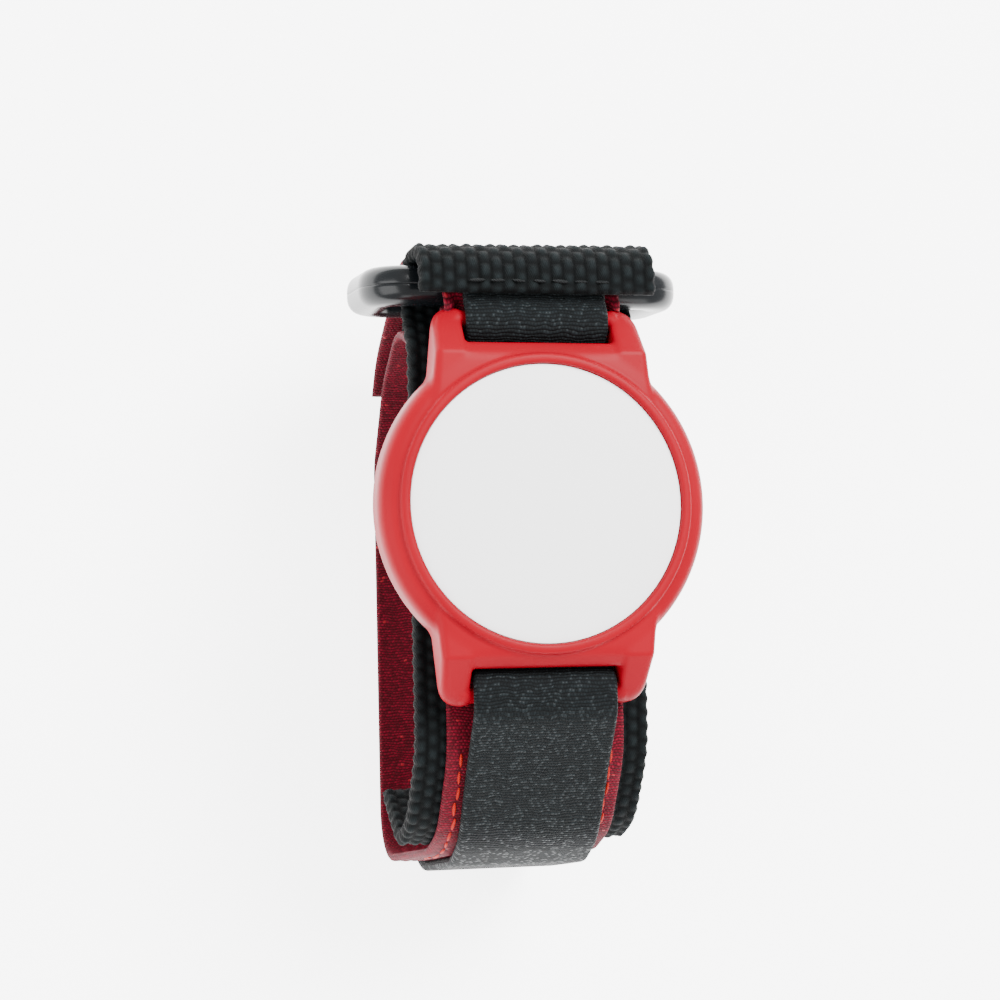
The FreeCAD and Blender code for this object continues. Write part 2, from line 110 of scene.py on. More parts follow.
# the gaps between the lugs: straight wall, bevel above it, ramp under it, and the moulded bar
LEDGE_Y = 17.5
BEVEL_RUN, BEVEL_DROP = 1.1, 1.0
RAMP_RUN = 2.3
LUG_BAR_Y, LUG_BAR_R, LUG_BAR_LIFT = 20.3, 0.9, 1.05
LUG_ROOT, LUG_TIP, LUG_ROOT_Y = 12.1, 11.3, 13.5

# the strap's layers and the ring
TAPE, LINING, PAD = 1.2, 0.9, 1.8
LAYER, RUNNING = 0.1, 0.3
RING_R, RING_REACH, RING_CORNER = 2.2, 11.5, 2.8
LEAN, SWING = math.radians(-2.0), math.radians(4.0)
TAPE_OVER_BAR = UNDER_Z + LUG_BAR_LIFT + LUG_BAR_R + LAYER + TAPE / 2
TAPE_UNDER = UNDER_Z - LAYER - TAPE / 2
TAPE_OVER_RING = NEAR_Z + RING_R + RUNNING + LINING + LAYER + TAPE / 2
LINING_STEP = TAPE / 2 + LAYER + LINING / 2
PAD_STEP = LINING_STEP + LINING / 2 + LAYER + PAD / 2
FAR_Y, FAR_Z = NEAR_Y - RING_REACH * math.sin(LEAN), NEAR_Z - RING_REACH * math.cos(LEAN)
LOOP_R = RING_R + RUNNING + PAD / 2
FOLD_R = RING_R + RING_REACH * math.sin(SWING) + RUNNING + TAPE / 2

# how far a corner of a route is eased, the hook tape's thickness, and where the tab's tapes are split
EASE = 0.5
HOOK = 1.0
TAB_TOP = HINGE_Z + 5.0

# the webbing's free end: its length past the turn, its slope, and the round where it leaves the strap
PAD_TAIL, PAD_TUCK, PAD_BEND = 8.5, math.radians(54.0), 2.4
SIDE_LEAN = 2.4


# ---------------------------------------------------------------- settings that a user would change

class CaseSettings(bpy.types.PropertyGroup):
    """Sizes of the moulded case, in millimetres."""
    bezel_width: FloatProperty(name="Bezel width", description="Raised ring round the face", default=1.15)
    shoulder_drop: FloatProperty(name="Shoulder drop", description="Body below the face", default=0.2)
    rim_round: FloatProperty(name="Rim round", description="Rounded outer edge", default=1.3)
    edge_round: FloatProperty(name="Edge round", description="Small rounding of moulded edges", default=0.45)
    lug_slope: FloatProperty(name="Lug slope", description="Fall of the lugs towards their tips",
                             default=math.radians(35.0), subtype="ANGLE")
    grid: FloatProperty(name="Grid", description="Spacing of the surface's points", default=0.235)


class StrapSettings(bpy.types.PropertyGroup):
    """The weave of the webbing, and how the narrow tape lies, in millimetres."""
    yarn_across: FloatProperty(name="Yarn width", description="Webbing's yarns, across", default=1.33)
    yarn_along: FloatProperty(name="Float length", description="Webbing's floats, along", default=1.5)
    yarn_relief: FloatProperty(name="Yarn relief", description="Height of the webbing's weave", default=0.34)
    drift: FloatProperty(name="Tape drift", description="Sideways lie of the narrow tape at the turn",
                         default=1.9)
    rib: FloatProperty(name="Rib pitch", description="Cross ribs of the narrow tape", default=0.36)


class SeamSettings(bpy.types.PropertyGroup):
    """Sewing thread, in millimetres."""
    stitch: FloatProperty(name="Stitch length", description="From one needle hole to the next", default=2.1)
    thread: FloatProperty(name="Thread width", description="Thread as it lies", default=0.42)
    seed: IntProperty(name="Seed", description="Unevenness of the stitches", default=7)


class ColourSettings(bpy.types.PropertyGroup):
    """Colours of the finishes."""
    case_red: FloatVectorProperty(name="Case", description="Moulded red plastic", subtype="COLOR",
                                  size=3, default=(0.235, 0.0001, 0.0075))
    face_white: FloatVectorProperty(name="Face", description="White disc", subtype="COLOR",
                                    size=3, default=(0.95, 0.95, 0.95))
    lining_red: FloatVectorProperty(name="Lining", description="Red tape", subtype="COLOR",
                                    size=3, default=(0.095, 0.0009, 0.008))
    tape_black: FloatVectorProperty(name="Tape", description="Narrow black tape", subtype="COLOR",
                                    size=3, default=(0.0026, 0.0038, 0.0044))
    webbing_black: FloatVectorProperty(name="Webbing", description="Coarse black webbing",
                                       subtype="COLOR", size=3, default=(0.0024, 0.0035, 0.0038))
    thread_orange: FloatVectorProperty(name="Thread", description="Seams beside the narrow tape",
                                       subtype="COLOR", size=3, default=(0.36, 0.008, 0.002))


class PinHolderSettings(bpy.types.PropertyGroup):
    """All the settings of the pin holder."""
    case: PointerProperty(type=CaseSettings)
    strap: PointerProperty(type=StrapSettings)
    seams: PointerProperty(type=SeamSettings)
    colours: PointerProperty(type=ColourSettings)


def settings():
    return bpy.context.scene.pin_holder


# ---------------------------------------------------------------- meshes

def new_mesh(name, points, faces, material, smooth_below=40.0, uv=None, floats=None):
    """A mesh object at the origin, from points in millimetres; uv and floats are given per point."""
    mesh = bpy.data.meshes.new(name)
    points = np.asarray(points, float)
    loops = np.concatenate([np.asarray(f, np.int32) for f in faces]) if len(faces) else np.zeros(0, np.int32)
    sizes = np.array([len(f) for f in faces], np.int32)
    mesh.vertices.add(len(points))
    mesh.vertices.foreach_set("co", (points * MM).astype(np.float32).ravel())
    mesh.loops.add(len(loops))
    mesh.loops.foreach_set("vertex_index", loops)
    mesh.polygons.add(len(sizes))
    mesh.polygons.foreach_set("loop_start", np.concatenate([[0], np.cumsum(sizes)[:-1]]).astype(np.int32))
    mesh.update(calc_edges=True)
    mesh.validate()
    if uv is not None:
        layer = mesh.uv_layers.new(name="weave")
        layer.data.foreach_set("uv", np.asarray(uv, np.float32)[loops].ravel())
    for key, values in (floats or {}).items():
        attribute = mesh.attributes.new(key, "FLOAT", "POINT")
        attribute.data.foreach_set("value", np.asarray(values, np.float32))
    mesh.polygons.foreach_set("use_smooth", np.ones(len(sizes), bool))
    mesh.set_sharp_from_angle(angle=math.radians(smooth_below))
    mesh.materials.append(material)
    made = bpy.data.objects.new(name, mesh)
    bpy.context.scene.collection.objects.link(made)
    return made


def grid_faces(rows, columns, wrap=True):
    """Quads over rows of points; the columns close on themselves when wrap is true."""
    r = np.arange(rows - 1)[:, None]
    c = np.arange(columns if wrap else columns - 1)[None, :]
    n = (c + 1) % columns
    quads = np.stack(np.broadcast_arrays(r * columns + c, r * columns + n,
                                         (r + 1) * columns + n, (r + 1) * columns + c), -1)
    return quads.reshape(-1, 4).tolist()


def lathe(name, profile, material, steps=160, smooth_below=35.0):
    """A closed solid of revolution about the face's axis; profile is (radius, z), from axis to axis."""
    profile = np.asarray(profile, float)
    turn = np.linspace(0, 2 * math.pi, steps, endpoint=False)
    inner = profile[1:-1]
    ring = np.stack([inner[:, None, 0] * np.cos(turn), inner[:, None, 0] * np.sin(turn),
                     np.broadcast_to(inner[:, None, 1], (len(inner), steps))], -1).reshape(-1, 3)
    points = np.vstack([ring, [[0, 0, profile[0, 1]], [0, 0, profile[-1, 1]]]])
    faces = grid_faces(len(inner), steps)
    first, last, base = len(ring), len(ring) + 1, (len(inner) - 1) * steps
    faces += [[first, (i + 1) % steps, i] for i in range(steps)]
    faces += [[last, base + i, base + (i + 1) % steps] for i in range(steps)]
    return new_mesh(name, points, faces, material, smooth_below)


def finish_piece(piece, body, slot, *nodes):
    """Rides a piece on its body, and hides the CAD nodes that it stands for; its slot is not used."""
    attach(piece, body)
    if nodes:
        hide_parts(*nodes)
    return piece


# ---------------------------------------------------------------- material nodes

def feed(tree, made, inputs):
    """Links a node's inputs to sockets, or sets them to plain values."""
    for key, value in inputs.items():
        if isinstance(value, bpy.types.NodeSocket):
            tree.links.new(value, made.inputs[key])
        else:
            made.inputs[key].default_value = value
    return made


def node(tree, kind, inputs=None, **values):
    """A node with its settings, and its inputs set or linked."""
    made = tree.nodes.new(kind)
    for key, value in values.items():
        setattr(made, key, value)
    return feed(tree, made, inputs or {})


def maths(tree, operation, a, b=0.0, c=0.0, clamp=False):
    made = node(tree, "ShaderNodeMath", {0: a, 1: b, 2: c}, operation=operation, use_clamp=clamp)
    return made.outputs[0]


def blend_colour(tree, factor, a, b):
    made = node(tree, "ShaderNodeMix", {"Factor": factor}, data_type="RGBA")
    return feed(tree, made, {6: a, 7: b}).outputs[2]


def rgba(colour, gain=1.0):
    return tuple(min(1.0, c * gain) for c in colour) + (1.0,)


def new_group(name, kind, inputs, outputs, output_kind):
    """An empty node group with its named sockets."""
    group = bpy.data.node_groups.new(name, kind)
    for socket, socket_kind, value in inputs:
        made = group.interface.new_socket(socket, in_out="INPUT", socket_type=socket_kind)
        if value is not None:
            made.default_value = value
    for socket in outputs:
        group.interface.new_socket(socket, in_out="OUTPUT", socket_type=output_kind)
    return group, node(group, "NodeGroupInput"), node(group, "NodeGroupOutput")


def shader_group(name, inputs, outputs):
    return new_group(name, "ShaderNodeTree", inputs, outputs, "NodeSocketFloat")


def make_weave_group():
    """Cross-ribbed weave in the plane of the tape: height of the ribs, a value for each dash, and glints."""
    group, source, target = shader_group("ribbed weave", [
        ("Vector", "NodeSocketVector", None), ("Across", "NodeSocketFloat", 0.4),
        ("Along", "NodeSocketFloat", 0.4), ("Glints", "NodeSocketFloat", 0.02)],
        ["Height", "Crossing", "Glint", "Streak"])
    wobble = node(group, "ShaderNodeTexNoise", {"Vector": source.outputs["Vector"], "Scale": 0.5,
                                                "Detail": 2.0})
    shift = maths(group, "MULTIPLY_ADD", wobble.outputs["Fac"], 0.8, -0.4)
    parts = node(group, "ShaderNodeSeparateXYZ", {0: source.outputs["Vector"]})
    rows = maths(group, "DIVIDE", maths(group, "ADD", parts.outputs[1], shift), source.outputs["Along"])
    j = maths(group, "FLOOR", rows)
    stagger = maths(group, "MULTIPLY", maths(group, "PINGPONG", j, 1.0), 0.5)
    dashes = maths(group, "ADD", maths(group, "DIVIDE", parts.outputs[0], source.outputs["Across"]), stagger)
    i = maths(group, "FLOOR", dashes)
    rib = maths(group, "SINE", maths(group, "MULTIPLY", maths(group, "FRACT", rows), math.pi))
    dash = maths(group, "SINE", maths(group, "MULTIPLY", maths(group, "FRACT", dashes), math.pi))
    height = maths(group, "MULTIPLY", rib, maths(group, "MULTIPLY_ADD", dash, 0.6, 0.4))
    cell = node(group, "ShaderNodeCombineXYZ", {0: i, 1: j, 2: 3.0})
    chance = node(group, "ShaderNodeTexWhiteNoise", {"Vector": cell.outputs[0]})
    row = node(group, "ShaderNodeCombineXYZ", {0: 5.0, 1: j, 2: 8.0})
    streak = node(group, "ShaderNodeTexWhiteNoise", {"Vector": row.outputs[0]})
    limit = maths(group, "SUBTRACT", 1.0, source.outputs["Glints"])
    glint = maths(group, "MULTIPLY", maths(group, "GREATER_THAN", chance.outputs["Value"], limit), height)
    for socket, value in (("Height", height), ("Crossing", chance.outputs["Value"]),
                          ("Glint", glint), ("Streak", streak.outputs["Value"])):
        group.links.new(value, target.inputs[socket])
    return group


def make_skin_group():
    """Faint unevenness of a moulded surface: a bump height and a roughness share."""
    group, source, target = shader_group("moulded skin", [
        ("Vector", "NodeSocketVector", None), ("Scale", "NodeSocketFloat", 900.0)], ["Height", "Patch"])
    fine = node(group, "ShaderNodeTexNoise", {"Vector": source.outputs["Vector"],
                                              "Scale": source.outputs["Scale"], "Detail": 3.0})
    broad = node(group, "ShaderNodeTexNoise", {"Vector": source.outputs["Vector"], "Scale": 120.0,
                                               "Detail": 2.0})
    group.links.new(fine.outputs["Fac"], target.inputs["Height"])
    group.links.new(broad.outputs["Fac"], target.inputs["Patch"])
    return group


def new_material(name):
    material = bpy.data.materials.new(name)
    material.use_nodes = True
    tree = material.node_tree
    return material, tree, tree.nodes["Principled BSDF"]


def bump(tree, shader, height, strength, distance):
    made = node(tree, "ShaderNodeBump", {"Height": height, "Strength": strength, "Distance": distance})
    tree.links.new(made.outputs["Normal"], shader.inputs["Normal"])


def group_node(tree, group, inputs):
    return feed(tree, node(tree, "ShaderNodeGroup", node_tree=group), inputs)


def plastic(name, skin, colour, rough, specular=0.5, relief=0.06, gain=1.12):
    """Moulded plastic: soft patches of colour and roughness, and a faint skin."""
    material, tree, shader = new_material(name)
    place = node(tree, "ShaderNodeTexCoord")
    group = group_node(tree, skin, {"Vector": place.outputs["Object"], "Scale": 900.0})
    shade = blend_colour(tree, group.outputs["Patch"], rgba(colour, 2 - gain), rgba(colour, gain))
    tree.links.new(shade, shader.inputs["Base Color"])
    tree.links.new(maths(tree, "MULTIPLY_ADD", group.outputs["Patch"], 0.12, rough - 0.06),
                   shader.inputs["Roughness"])
    shader.inputs["Specular IOR Level"].default_value = specular
    bump(tree, shader, group.outputs["Height"], relief, 0.00006)
    return material


def woven(name, weave, colour, across, along, light=2.9, glints=0.22,
          glint_colour=(0.0085, 0.012, 0.0135, 1), rough=0.75):
    """A fine woven tape, drawn in millimetres on the tape's own plane, with painted shade between its ribs
    and painted highlight on their crowns.
    """
    material, tree, shader = new_material(name)
    place = node(tree, "ShaderNodeUVMap", uv_map="weave")
    group = group_node(tree, weave, {"Vector": place.outputs["UV"], "Across": across, "Along": along,
                                     "Glints": glints})
    # painted shade and painted highlight: dark in the valleys between the ribs, light on their crowns, varied
    # from dash to dash
    raised = maths(tree, "MULTIPLY", group.outputs["Height"],
                   maths(tree, "MULTIPLY_ADD", group.outputs["Crossing"], 0.7, 0.3))
    base = blend_colour(tree, raised, rgba(colour, 0.25), rgba(colour, light))
    base = blend_colour(tree, maths(tree, "MULTIPLY", group.outputs["Streak"], 0.25), base, rgba(colour, 0.8))
    base = blend_colour(tree, group.outputs["Glint"], base, glint_colour)
    tree.links.new(base, shader.inputs["Base Color"])
    tree.links.new(maths(tree, "MULTIPLY_ADD", group.outputs["Glint"], -0.35, rough),
                   shader.inputs["Roughness"])
    shader.inputs["Specular IOR Level"].default_value = 0.12
    bump(tree, shader, group.outputs["Height"], 0.8, 0.00012)
    return material


def webbing_material(name, colour):
    """Coarse webbing: painted highlight on the crowns of the yarns, painted shade between them, with slanting
    filaments.
    """
    material, tree, shader = new_material(name)
    crown = node(tree, "ShaderNodeAttribute", attribute_name="crown")
    slant = node(tree, "ShaderNodeAttribute", attribute_name="slant")
    place = node(tree, "ShaderNodeUVMap", uv_map="weave")
    parts = node(tree, "ShaderNodeSeparateXYZ", {0: place.outputs["UV"]})
    leaning = maths(tree, "MULTIPLY", parts.outputs[1], slant.outputs["Fac"])
    filaments = maths(tree, "SINE", maths(tree, "MULTIPLY", maths(
        tree, "ADD", parts.outputs[0], leaning), 30.0))
    noise = node(tree, "ShaderNodeTexNoise", {"Vector": place.outputs["UV"], "Scale": 2.6, "Detail": 5.0,
                                              "Roughness": 0.7})
    # painted highlight on the yarns' crowns and painted shade between them, mottled by noise and the slanting
    # filaments
    lift = maths(tree, "POWER", crown.outputs["Fac"], 1.7)
    highlight_and_mottle = maths(tree, "MULTIPLY", lift, maths(tree, "MULTIPLY_ADD", noise.outputs["Fac"], 1.5, 0.05))
    highlight_and_mottle = maths(tree, "MULTIPLY", highlight_and_mottle, maths(tree, "MULTIPLY_ADD", filaments, 0.25, 0.85), clamp=True)
    tree.links.new(blend_colour(tree, highlight_and_mottle, rgba(colour, 0.3), rgba(colour, 3.4)),
                   shader.inputs["Base Color"])
    shader.inputs["Roughness"].default_value = 0.8
    shader.inputs["Specular IOR Level"].default_value = 0.1
    height = maths(tree, "MULTIPLY_ADD", filaments, 0.35, noise.outputs["Fac"])
    bump(tree, shader, height, 0.6, 0.00008)
    return material


def grained(name, colour, rough, metallic, scale, stretch=(1, 1, 1)):
    """A plain sealed-in finish, with a grain that may be drawn out one way."""
    material, tree, shader = new_material(name)
    place = node(tree, "ShaderNodeTexCoord")
    mapping = node(tree, "ShaderNodeMapping", {"Vector": place.outputs["Object"], "Scale": stretch})
    grain = node(tree, "ShaderNodeTexNoise", {"Vector": mapping.outputs[0], "Scale": scale, "Detail": 4.0})
    tree.links.new(blend_colour(tree, grain.outputs["Fac"], rgba(colour, 0.7), rgba(colour, 1.3)),
                   shader.inputs["Base Color"])
    shader.inputs["Roughness"].default_value = rough
    shader.inputs["Metallic"].default_value = metallic
    bump(tree, shader, grain.outputs["Fac"], 0.3, 0.00005)
    return material


def thread_material(name, colour):
    """Twisted sewing thread."""
    material, tree, shader = new_material(name)
    place = node(tree, "ShaderNodeTexCoord")
    parts = node(tree, "ShaderNodeSeparateXYZ", {0: place.outputs["Object"]})
    twist = maths(tree, "SINE", maths(tree, "MULTIPLY", maths(tree, "ADD", maths(
        tree, "ADD", parts.outputs[0], parts.outputs[1]), parts.outputs[2]), 21000.0))
    tree.links.new(blend_colour(tree, maths(tree, "MULTIPLY_ADD", twist, 0.5, 0.5), rgba(colour, 0.6),
                                rgba(colour, 1.3)), shader.inputs["Base Color"])
    shader.inputs["Roughness"].default_value = 0.6
    shader.inputs["Specular IOR Level"].default_value = 0.15
    bump(tree, shader, twist, 0.5, 0.00006)
    return material


MATERIALS = {}


def make_materials():
    colours, rib = settings().colours, settings().strap.rib
    weave, skin = make_weave_group(), make_skin_group()
    MATERIALS.update({
        "case": plastic("red moulded plastic", skin, colours.case_red, 0.42, specular=0.08),
        "face": plastic("white face sheet", skin, colours.face_white, 0.5, relief=0.02, gain=1.004),
        "ring": plastic("glossy black plastic", skin, (0.004, 0.005, 0.006), 0.24, specular=0.3, relief=0.03),
        "hook": plastic("hook plastic", skin, (0.006, 0.006, 0.007), 0.4, specular=0.2),
        "tape": woven("narrow black tape", weave, colours.tape_black, rib, rib),
        "lining": woven("red lining tape", weave, colours.lining_red, 0.42, 0.34, light=2.3, glints=0.01,
                        glint_colour=(0.30, 0.012, 0.02, 1), rough=0.7),
        "webbing": webbing_material("coarse black webbing", colours.webbing_black),
        "orange thread": thread_material("orange sewing thread", colours.thread_orange),
        "black thread": thread_material("black sewing thread", (0.0035, 0.0045, 0.005)),
        "ferrite": grained("pressed ferrite", (0.06, 0.06, 0.065), 0.6, 0.0, 1800.0),
        "steel": grained("plated steel", (0.55, 0.55, 0.57), 0.3, 1.0, 900.0, (1, 14, 1)),
        "foam": grained("closed-cell foam", (0.05, 0.05, 0.05), 0.9, 0.0, 2600.0),
    })


# ---------------------------------------------------------------- the case, as a distance field

def soft_max(a, b, k):
    """The larger of two distances, rounded where they meet."""
    h = np.maximum(k - np.abs(a - b), 0.0) / k
    return np.maximum(a, b) + h * h * k * 0.25


def soft_min(a, b, k):
    return -soft_max(-a, -b, k)


def case_distance(p, case):
    """Distance to the case's surface, in millimetres from the face's centre; negative inside."""
    x, y, z = np.abs(p[:, 0]), np.abs(p[:, 1]), p[:, 2]
    r = np.hypot(p[:, 0], p[:, 1])
    edge = case.edge_round
    under, top = UNDER_Z - FACE_Z, -case.shoulder_drop
    drum = soft_max(r - CASE_R, z - top, 1.7 * case.rim_round)
    drum = soft_max(drum, under - z, 2 * edge)
    taper = (LUG_ROOT - LUG_TIP) / (LUG_TIP_Y - LUG_ROOT_Y)
    side = (x - LUG_ROOT + taper * np.maximum(y - LUG_ROOT_Y, 0.0)) / math.hypot(1.0, taper)
    crest = LEDGE_Y - BEVEL_RUN
    fall = (z - top) * math.cos(case.lug_slope) + (y - crest) * math.sin(case.lug_slope)
    block = soft_max(side, y - LUG_TIP_Y, 2.4)
    block = soft_max(block, soft_max(z - top, fall, 0.12), 2 * edge)
    block = soft_max(block, under - z, 2 * edge)
    body = soft_min(drum, block, 0.5)
    # the gap between the lugs: what is beyond the wall, above the bevel or under the ramp
    bevel = ((y - crest) * BEVEL_DROP + (z - top) * BEVEL_RUN) / math.hypot(BEVEL_RUN, BEVEL_DROP)
    ramp = ((y - LEDGE_Y + RAMP_RUN) * 0.9 - (z - under)) / math.hypot(1.0, 0.9)
    gap = np.minimum(-soft_max(soft_max(y - LEDGE_Y, bevel, 0.35), ramp, 0.35), LUG_TIP_Y + 2 - y)
    gap = soft_max(x - (TAPE_W / 2 + RUNNING), gap, 0.5)
    body = soft_max(body, -gap, 1.5 * edge)
    bar = np.hypot(y - LUG_BAR_Y, z - (under + LUG_BAR_LIFT)) - LUG_BAR_R
    bar = soft_max(bar, x - (TAPE_W / 2 + 1.0), 0.2)
    body = soft_min(body, bar, 0.5)
    # bezel, recess for the face, and the cavity with its seat for the back plate
    bezel_mid = DISC_R + case.bezel_width / 2
    bezel = soft_max(np.abs(r - bezel_mid) - case.bezel_width / 2, z - (BEZEL_Z - FACE_Z), 0.42)
    body = soft_min(body, soft_max(bezel, under + 1.0 - z, 0.2), 0.35)
    recess = soft_max(r - (DISC_R + 0.03), -0.78 - z, 0.2)
    body = soft_max(body, -recess, 0.2)
    seat = soft_max(r - (BACK_R + LAYER), z - (under + BACK_T), 0.2)
    hollow = soft_max(r - CAVITY_R, z - (CAVITY_Z - FACE_Z), 0.2)
    return soft_max(body, -np.minimum(seat, hollow), 0.2)


def surface_of(distance, lowest, highest, step):
    """Quads over the zero of a distance field: one point in each cell that the surface crosses."""
    axes = [np.arange(a, b + step, step) for a, b in zip(lowest, highest)]
    nx, ny, nz = map(len, axes)
    grid = np.stack(np.meshgrid(*axes, indexing="ij"), -1).reshape(-1, 3)
    value = np.concatenate([distance(part) for part in np.array_split(grid, 16)]).reshape(nx, ny, nz)
    inside = value < 0
    total, count = np.zeros((nx - 1, ny - 1, nz - 1, 3)), np.zeros((nx - 1, ny - 1, nz - 1))
    crossings = []
    for axis in range(3):
        a = [slice(None)] * 3
        b = [slice(None)] * 3
        a[axis], b[axis] = slice(0, -1), slice(1, None)
        va, vb = value[tuple(a)], value[tuple(b)]
        crossing = inside[tuple(a)] != inside[tuple(b)]
        index = np.argwhere(crossing)
        t = va[crossing] / (va[crossing] - vb[crossing])
        place = index.astype(float)
        place[:, axis] += t
        crossings.append((index, inside[tuple(a)][crossing]))
        others = [k for k in range(3) if k != axis]
        for d0 in (0, 1):
            for d1 in (0, 1):
                cell = index.copy()
                cell[:, others[0]] -= d0
                cell[:, others[1]] -= d1
                ok = ((cell >= 0) & (cell < np.array([nx - 1, ny - 1, nz - 1]))).all(1)
                c = tuple(cell[ok].T)
                np.add.at(total, c, place[ok])
                np.add.at(count, c, 1)
    used = count > 0
    number = -np.ones(count.shape, int)
    number[used] = np.arange(used.sum())
    points = total[used] / count[used][:, None] * step + np.array(lowest)
    faces = []
    for axis, (index, starts_inside) in enumerate(crossings):
        u, v = [(1, 2), (2, 0), (0, 1)][axis]
        corners = []
        for du, dv in ((-1, -1), (0, -1), (0, 0), (-1, 0)):
            cell = index.copy()
            cell[:, u] += du
            cell[:, v] += dv
            corners.append(number[tuple(cell.T)])
        quads = np.stack(corners, 1)
        faces.append(np.where(starts_inside[:, None], quads, quads[:, ::-1]))
    return points, np.concatenate(faces)


def settle(points, distance, rounds=4, reach=0.02):
    """Moves points along the field's slope onto its zero."""
    for _ in range(rounds):
        here = distance(points)
        slope = np.stack([(distance(points + offset) - distance(points - offset)) / (2 * reach)
                          for offset in np.eye(3) * reach], 1)
        points = points - slope * (here / np.maximum((slope ** 2).sum(1), 1e-6))[:, None] * 0.9
    return points


# ---------------------------------------------------------------- routes of the strap, in the YZ plane

def line_meet(a, b, c, d):
    """Where the line through a and b meets the line through c and d."""
    (ax, ay), (bx, by), (cx, cy), (dx, dy) = a, b, c, d
    cross = (bx - ax) * (dy - cy) - (by - ay) * (dx - cx)
    t = ((cx - ax) * (dy - cy) - (cy - ay) * (dx - cx)) / cross
    return ax + t * (bx - ax), ay + t * (by - ay)


def shifted(a, b, distance):
    """The segment from a to b moved to its left."""
    length = math.hypot(b[0] - a[0], b[1] - a[1])
    nx, ny = -(b[1] - a[1]) / length * distance, (b[0] - a[0]) / length * distance
    return (a[0] + nx, a[1] + ny), (b[0] + nx, b[1] + ny)


def parallel(route, distance):
    """A route, as (y, z, radius) corners, moved to its left, with its radii changed to suit."""
    sides = [shifted(p[:2], q[:2], distance) for p, q in zip(route, route[1:])]
    moved = [sides[0][0] + (0.0,)]
    for before, after, (y, z, radius) in zip(sides, sides[1:], route[1:-1]):
        turn = ((before[1][0] - before[0][0]) * (after[1][1] - after[0][1])
                - (before[1][1] - before[0][1]) * (after[1][0] - after[0][0]))
        moved.append(line_meet(*before, *after) + (radius - distance * math.copysign(1.0, turn),))
    return moved + [sides[-1][1] + (0.0,)]


def sampled(route, step):
    """Evenly spaced points along a route's straights and arcs, eased a little."""
    points, start = [], np.array(route[0][:2])
    for before, corner, after in zip(route, route[1:], route[2:]):
        p, c, q = (np.array(r[:2]) for r in (before, corner, after))
        back, ahead = (p - c) / np.linalg.norm(p - c), (q - c) / np.linalg.norm(q - c)
        half = math.acos(np.clip(back @ ahead, -1, 1)) / 2
        run = corner[2] / math.tan(half)
        first, last = c + back * run, c + ahead * run
        centre = c + (back + ahead) / np.linalg.norm(back + ahead) * corner[2] / math.sin(half)
        a0 = math.atan2(*(first - centre)[::-1])
        a1 = math.atan2(*(last - centre)[::-1])
        sweep = (a1 - a0 + math.pi) % (2 * math.pi) - math.pi
        arc = a0 + sweep * np.linspace(0, 1, 24)
        points += [start, *(centre + corner[2] * np.stack([np.cos(arc), np.sin(arc)], 1))]
        start = last
    points = np.array(points + [start, np.array(route[-1][:2])])
    keep = np.concatenate([[True], np.linalg.norm(np.diff(points, axis=0), axis=1) > 1e-6])
    points = points[keep]
    along = np.concatenate([[0], np.cumsum(np.linalg.norm(np.diff(points, axis=0), axis=1))])
    count = max(8, int(round(along[-1] / step)) + 1)
    even = np.linspace(0, along[-1], count)
    line = np.stack([np.interp(even, along, points[:, k]) for k in (0, 1)], 1)
    for _ in range(max(1, int((EASE / step) ** 2))):
        line[1:-1] = line[1:-1] * 0.5 + (line[:-2] + line[2:]) * 0.25
    return line


def along(a, b, distance):
    """The point at a distance from a towards b."""
    length = math.hypot(b[0] - a[0], b[1] - a[1])
    return a[0] + (b[0] - a[0]) * distance / length, a[1] + (b[1] - a[1]) * distance / length


def strap_line():
    """Middle of the narrow tape from the last lug bar, round the wrist, to the fold on the ring."""
    turn = TURN_OUT + TAPE / 2
    return [(-LUG_TIP_Y - 0.7, TAPE_OVER_BAR, 2.6), (-LUG_TIP_Y - 14.7, FACE_Z - 11.7, 10.0),
            (turn + SIDE_LEAN, FACE_Z - 18.0, 9.0), (turn, TAPE / 2, 6.6), (8.0, TAPE / 2, 7.0),
            (FAR_Y - 7.0, TAPE / 2 + 6.2, 12.0), (FAR_Y - FOLD_R + 2.7, FACE_Z - 28.5, 6.0),
            (FAR_Y - FOLD_R, FACE_Z - 21.0, 8.0), (FAR_Y - FOLD_R, FAR_Z + FOLD_R, FOLD_R),
            (FAR_Y + FOLD_R, FAR_Z + FOLD_R, FOLD_R), (FAR_Y + FOLD_R, TAB_TOP, 0.0)]


def joined(front, step):
    """A layer that leaves the case level and then follows the strap line at a distance."""
    layer = parallel(strap_line(), step)
    level = front[-1]
    y, z = line_meet(level[:2], (level[0] - 1.0, level[1]), layer[0][:2], layer[1][:2])
    return front[:-1] + [(y, z, 9.0)] + layer[1:]


def tape_route():
    foot = LEDGE_Y - 1.1
    return [(FRONT_Y, TAPE_OVER_RING, 0.0), (LUG_TIP_Y + 0.6, TAPE_OVER_RING, 1.3),
            (LUG_TIP_Y - 0.7, TAPE_OVER_BAR, 1.3), (LUG_BAR_Y - 1.3, TAPE_OVER_BAR, 1.4),
            (foot, TAPE_UNDER, 1.6), (-foot, TAPE_UNDER, 1.6),
            (-LUG_BAR_Y + 1.3, TAPE_OVER_BAR, 1.5)] + strap_line()


def lining_route():
    under, over = TAPE_UNDER - LINING_STEP, TAPE_OVER_RING - LINING_STEP
    return joined([(FRONT_Y, over, 0.0), (NEAR_Y - 1.2, over, 1.5), (LUG_TIP_Y - 1.2, under, 2.0),
                   (0.0, under, 0.0)], LINING_STEP)


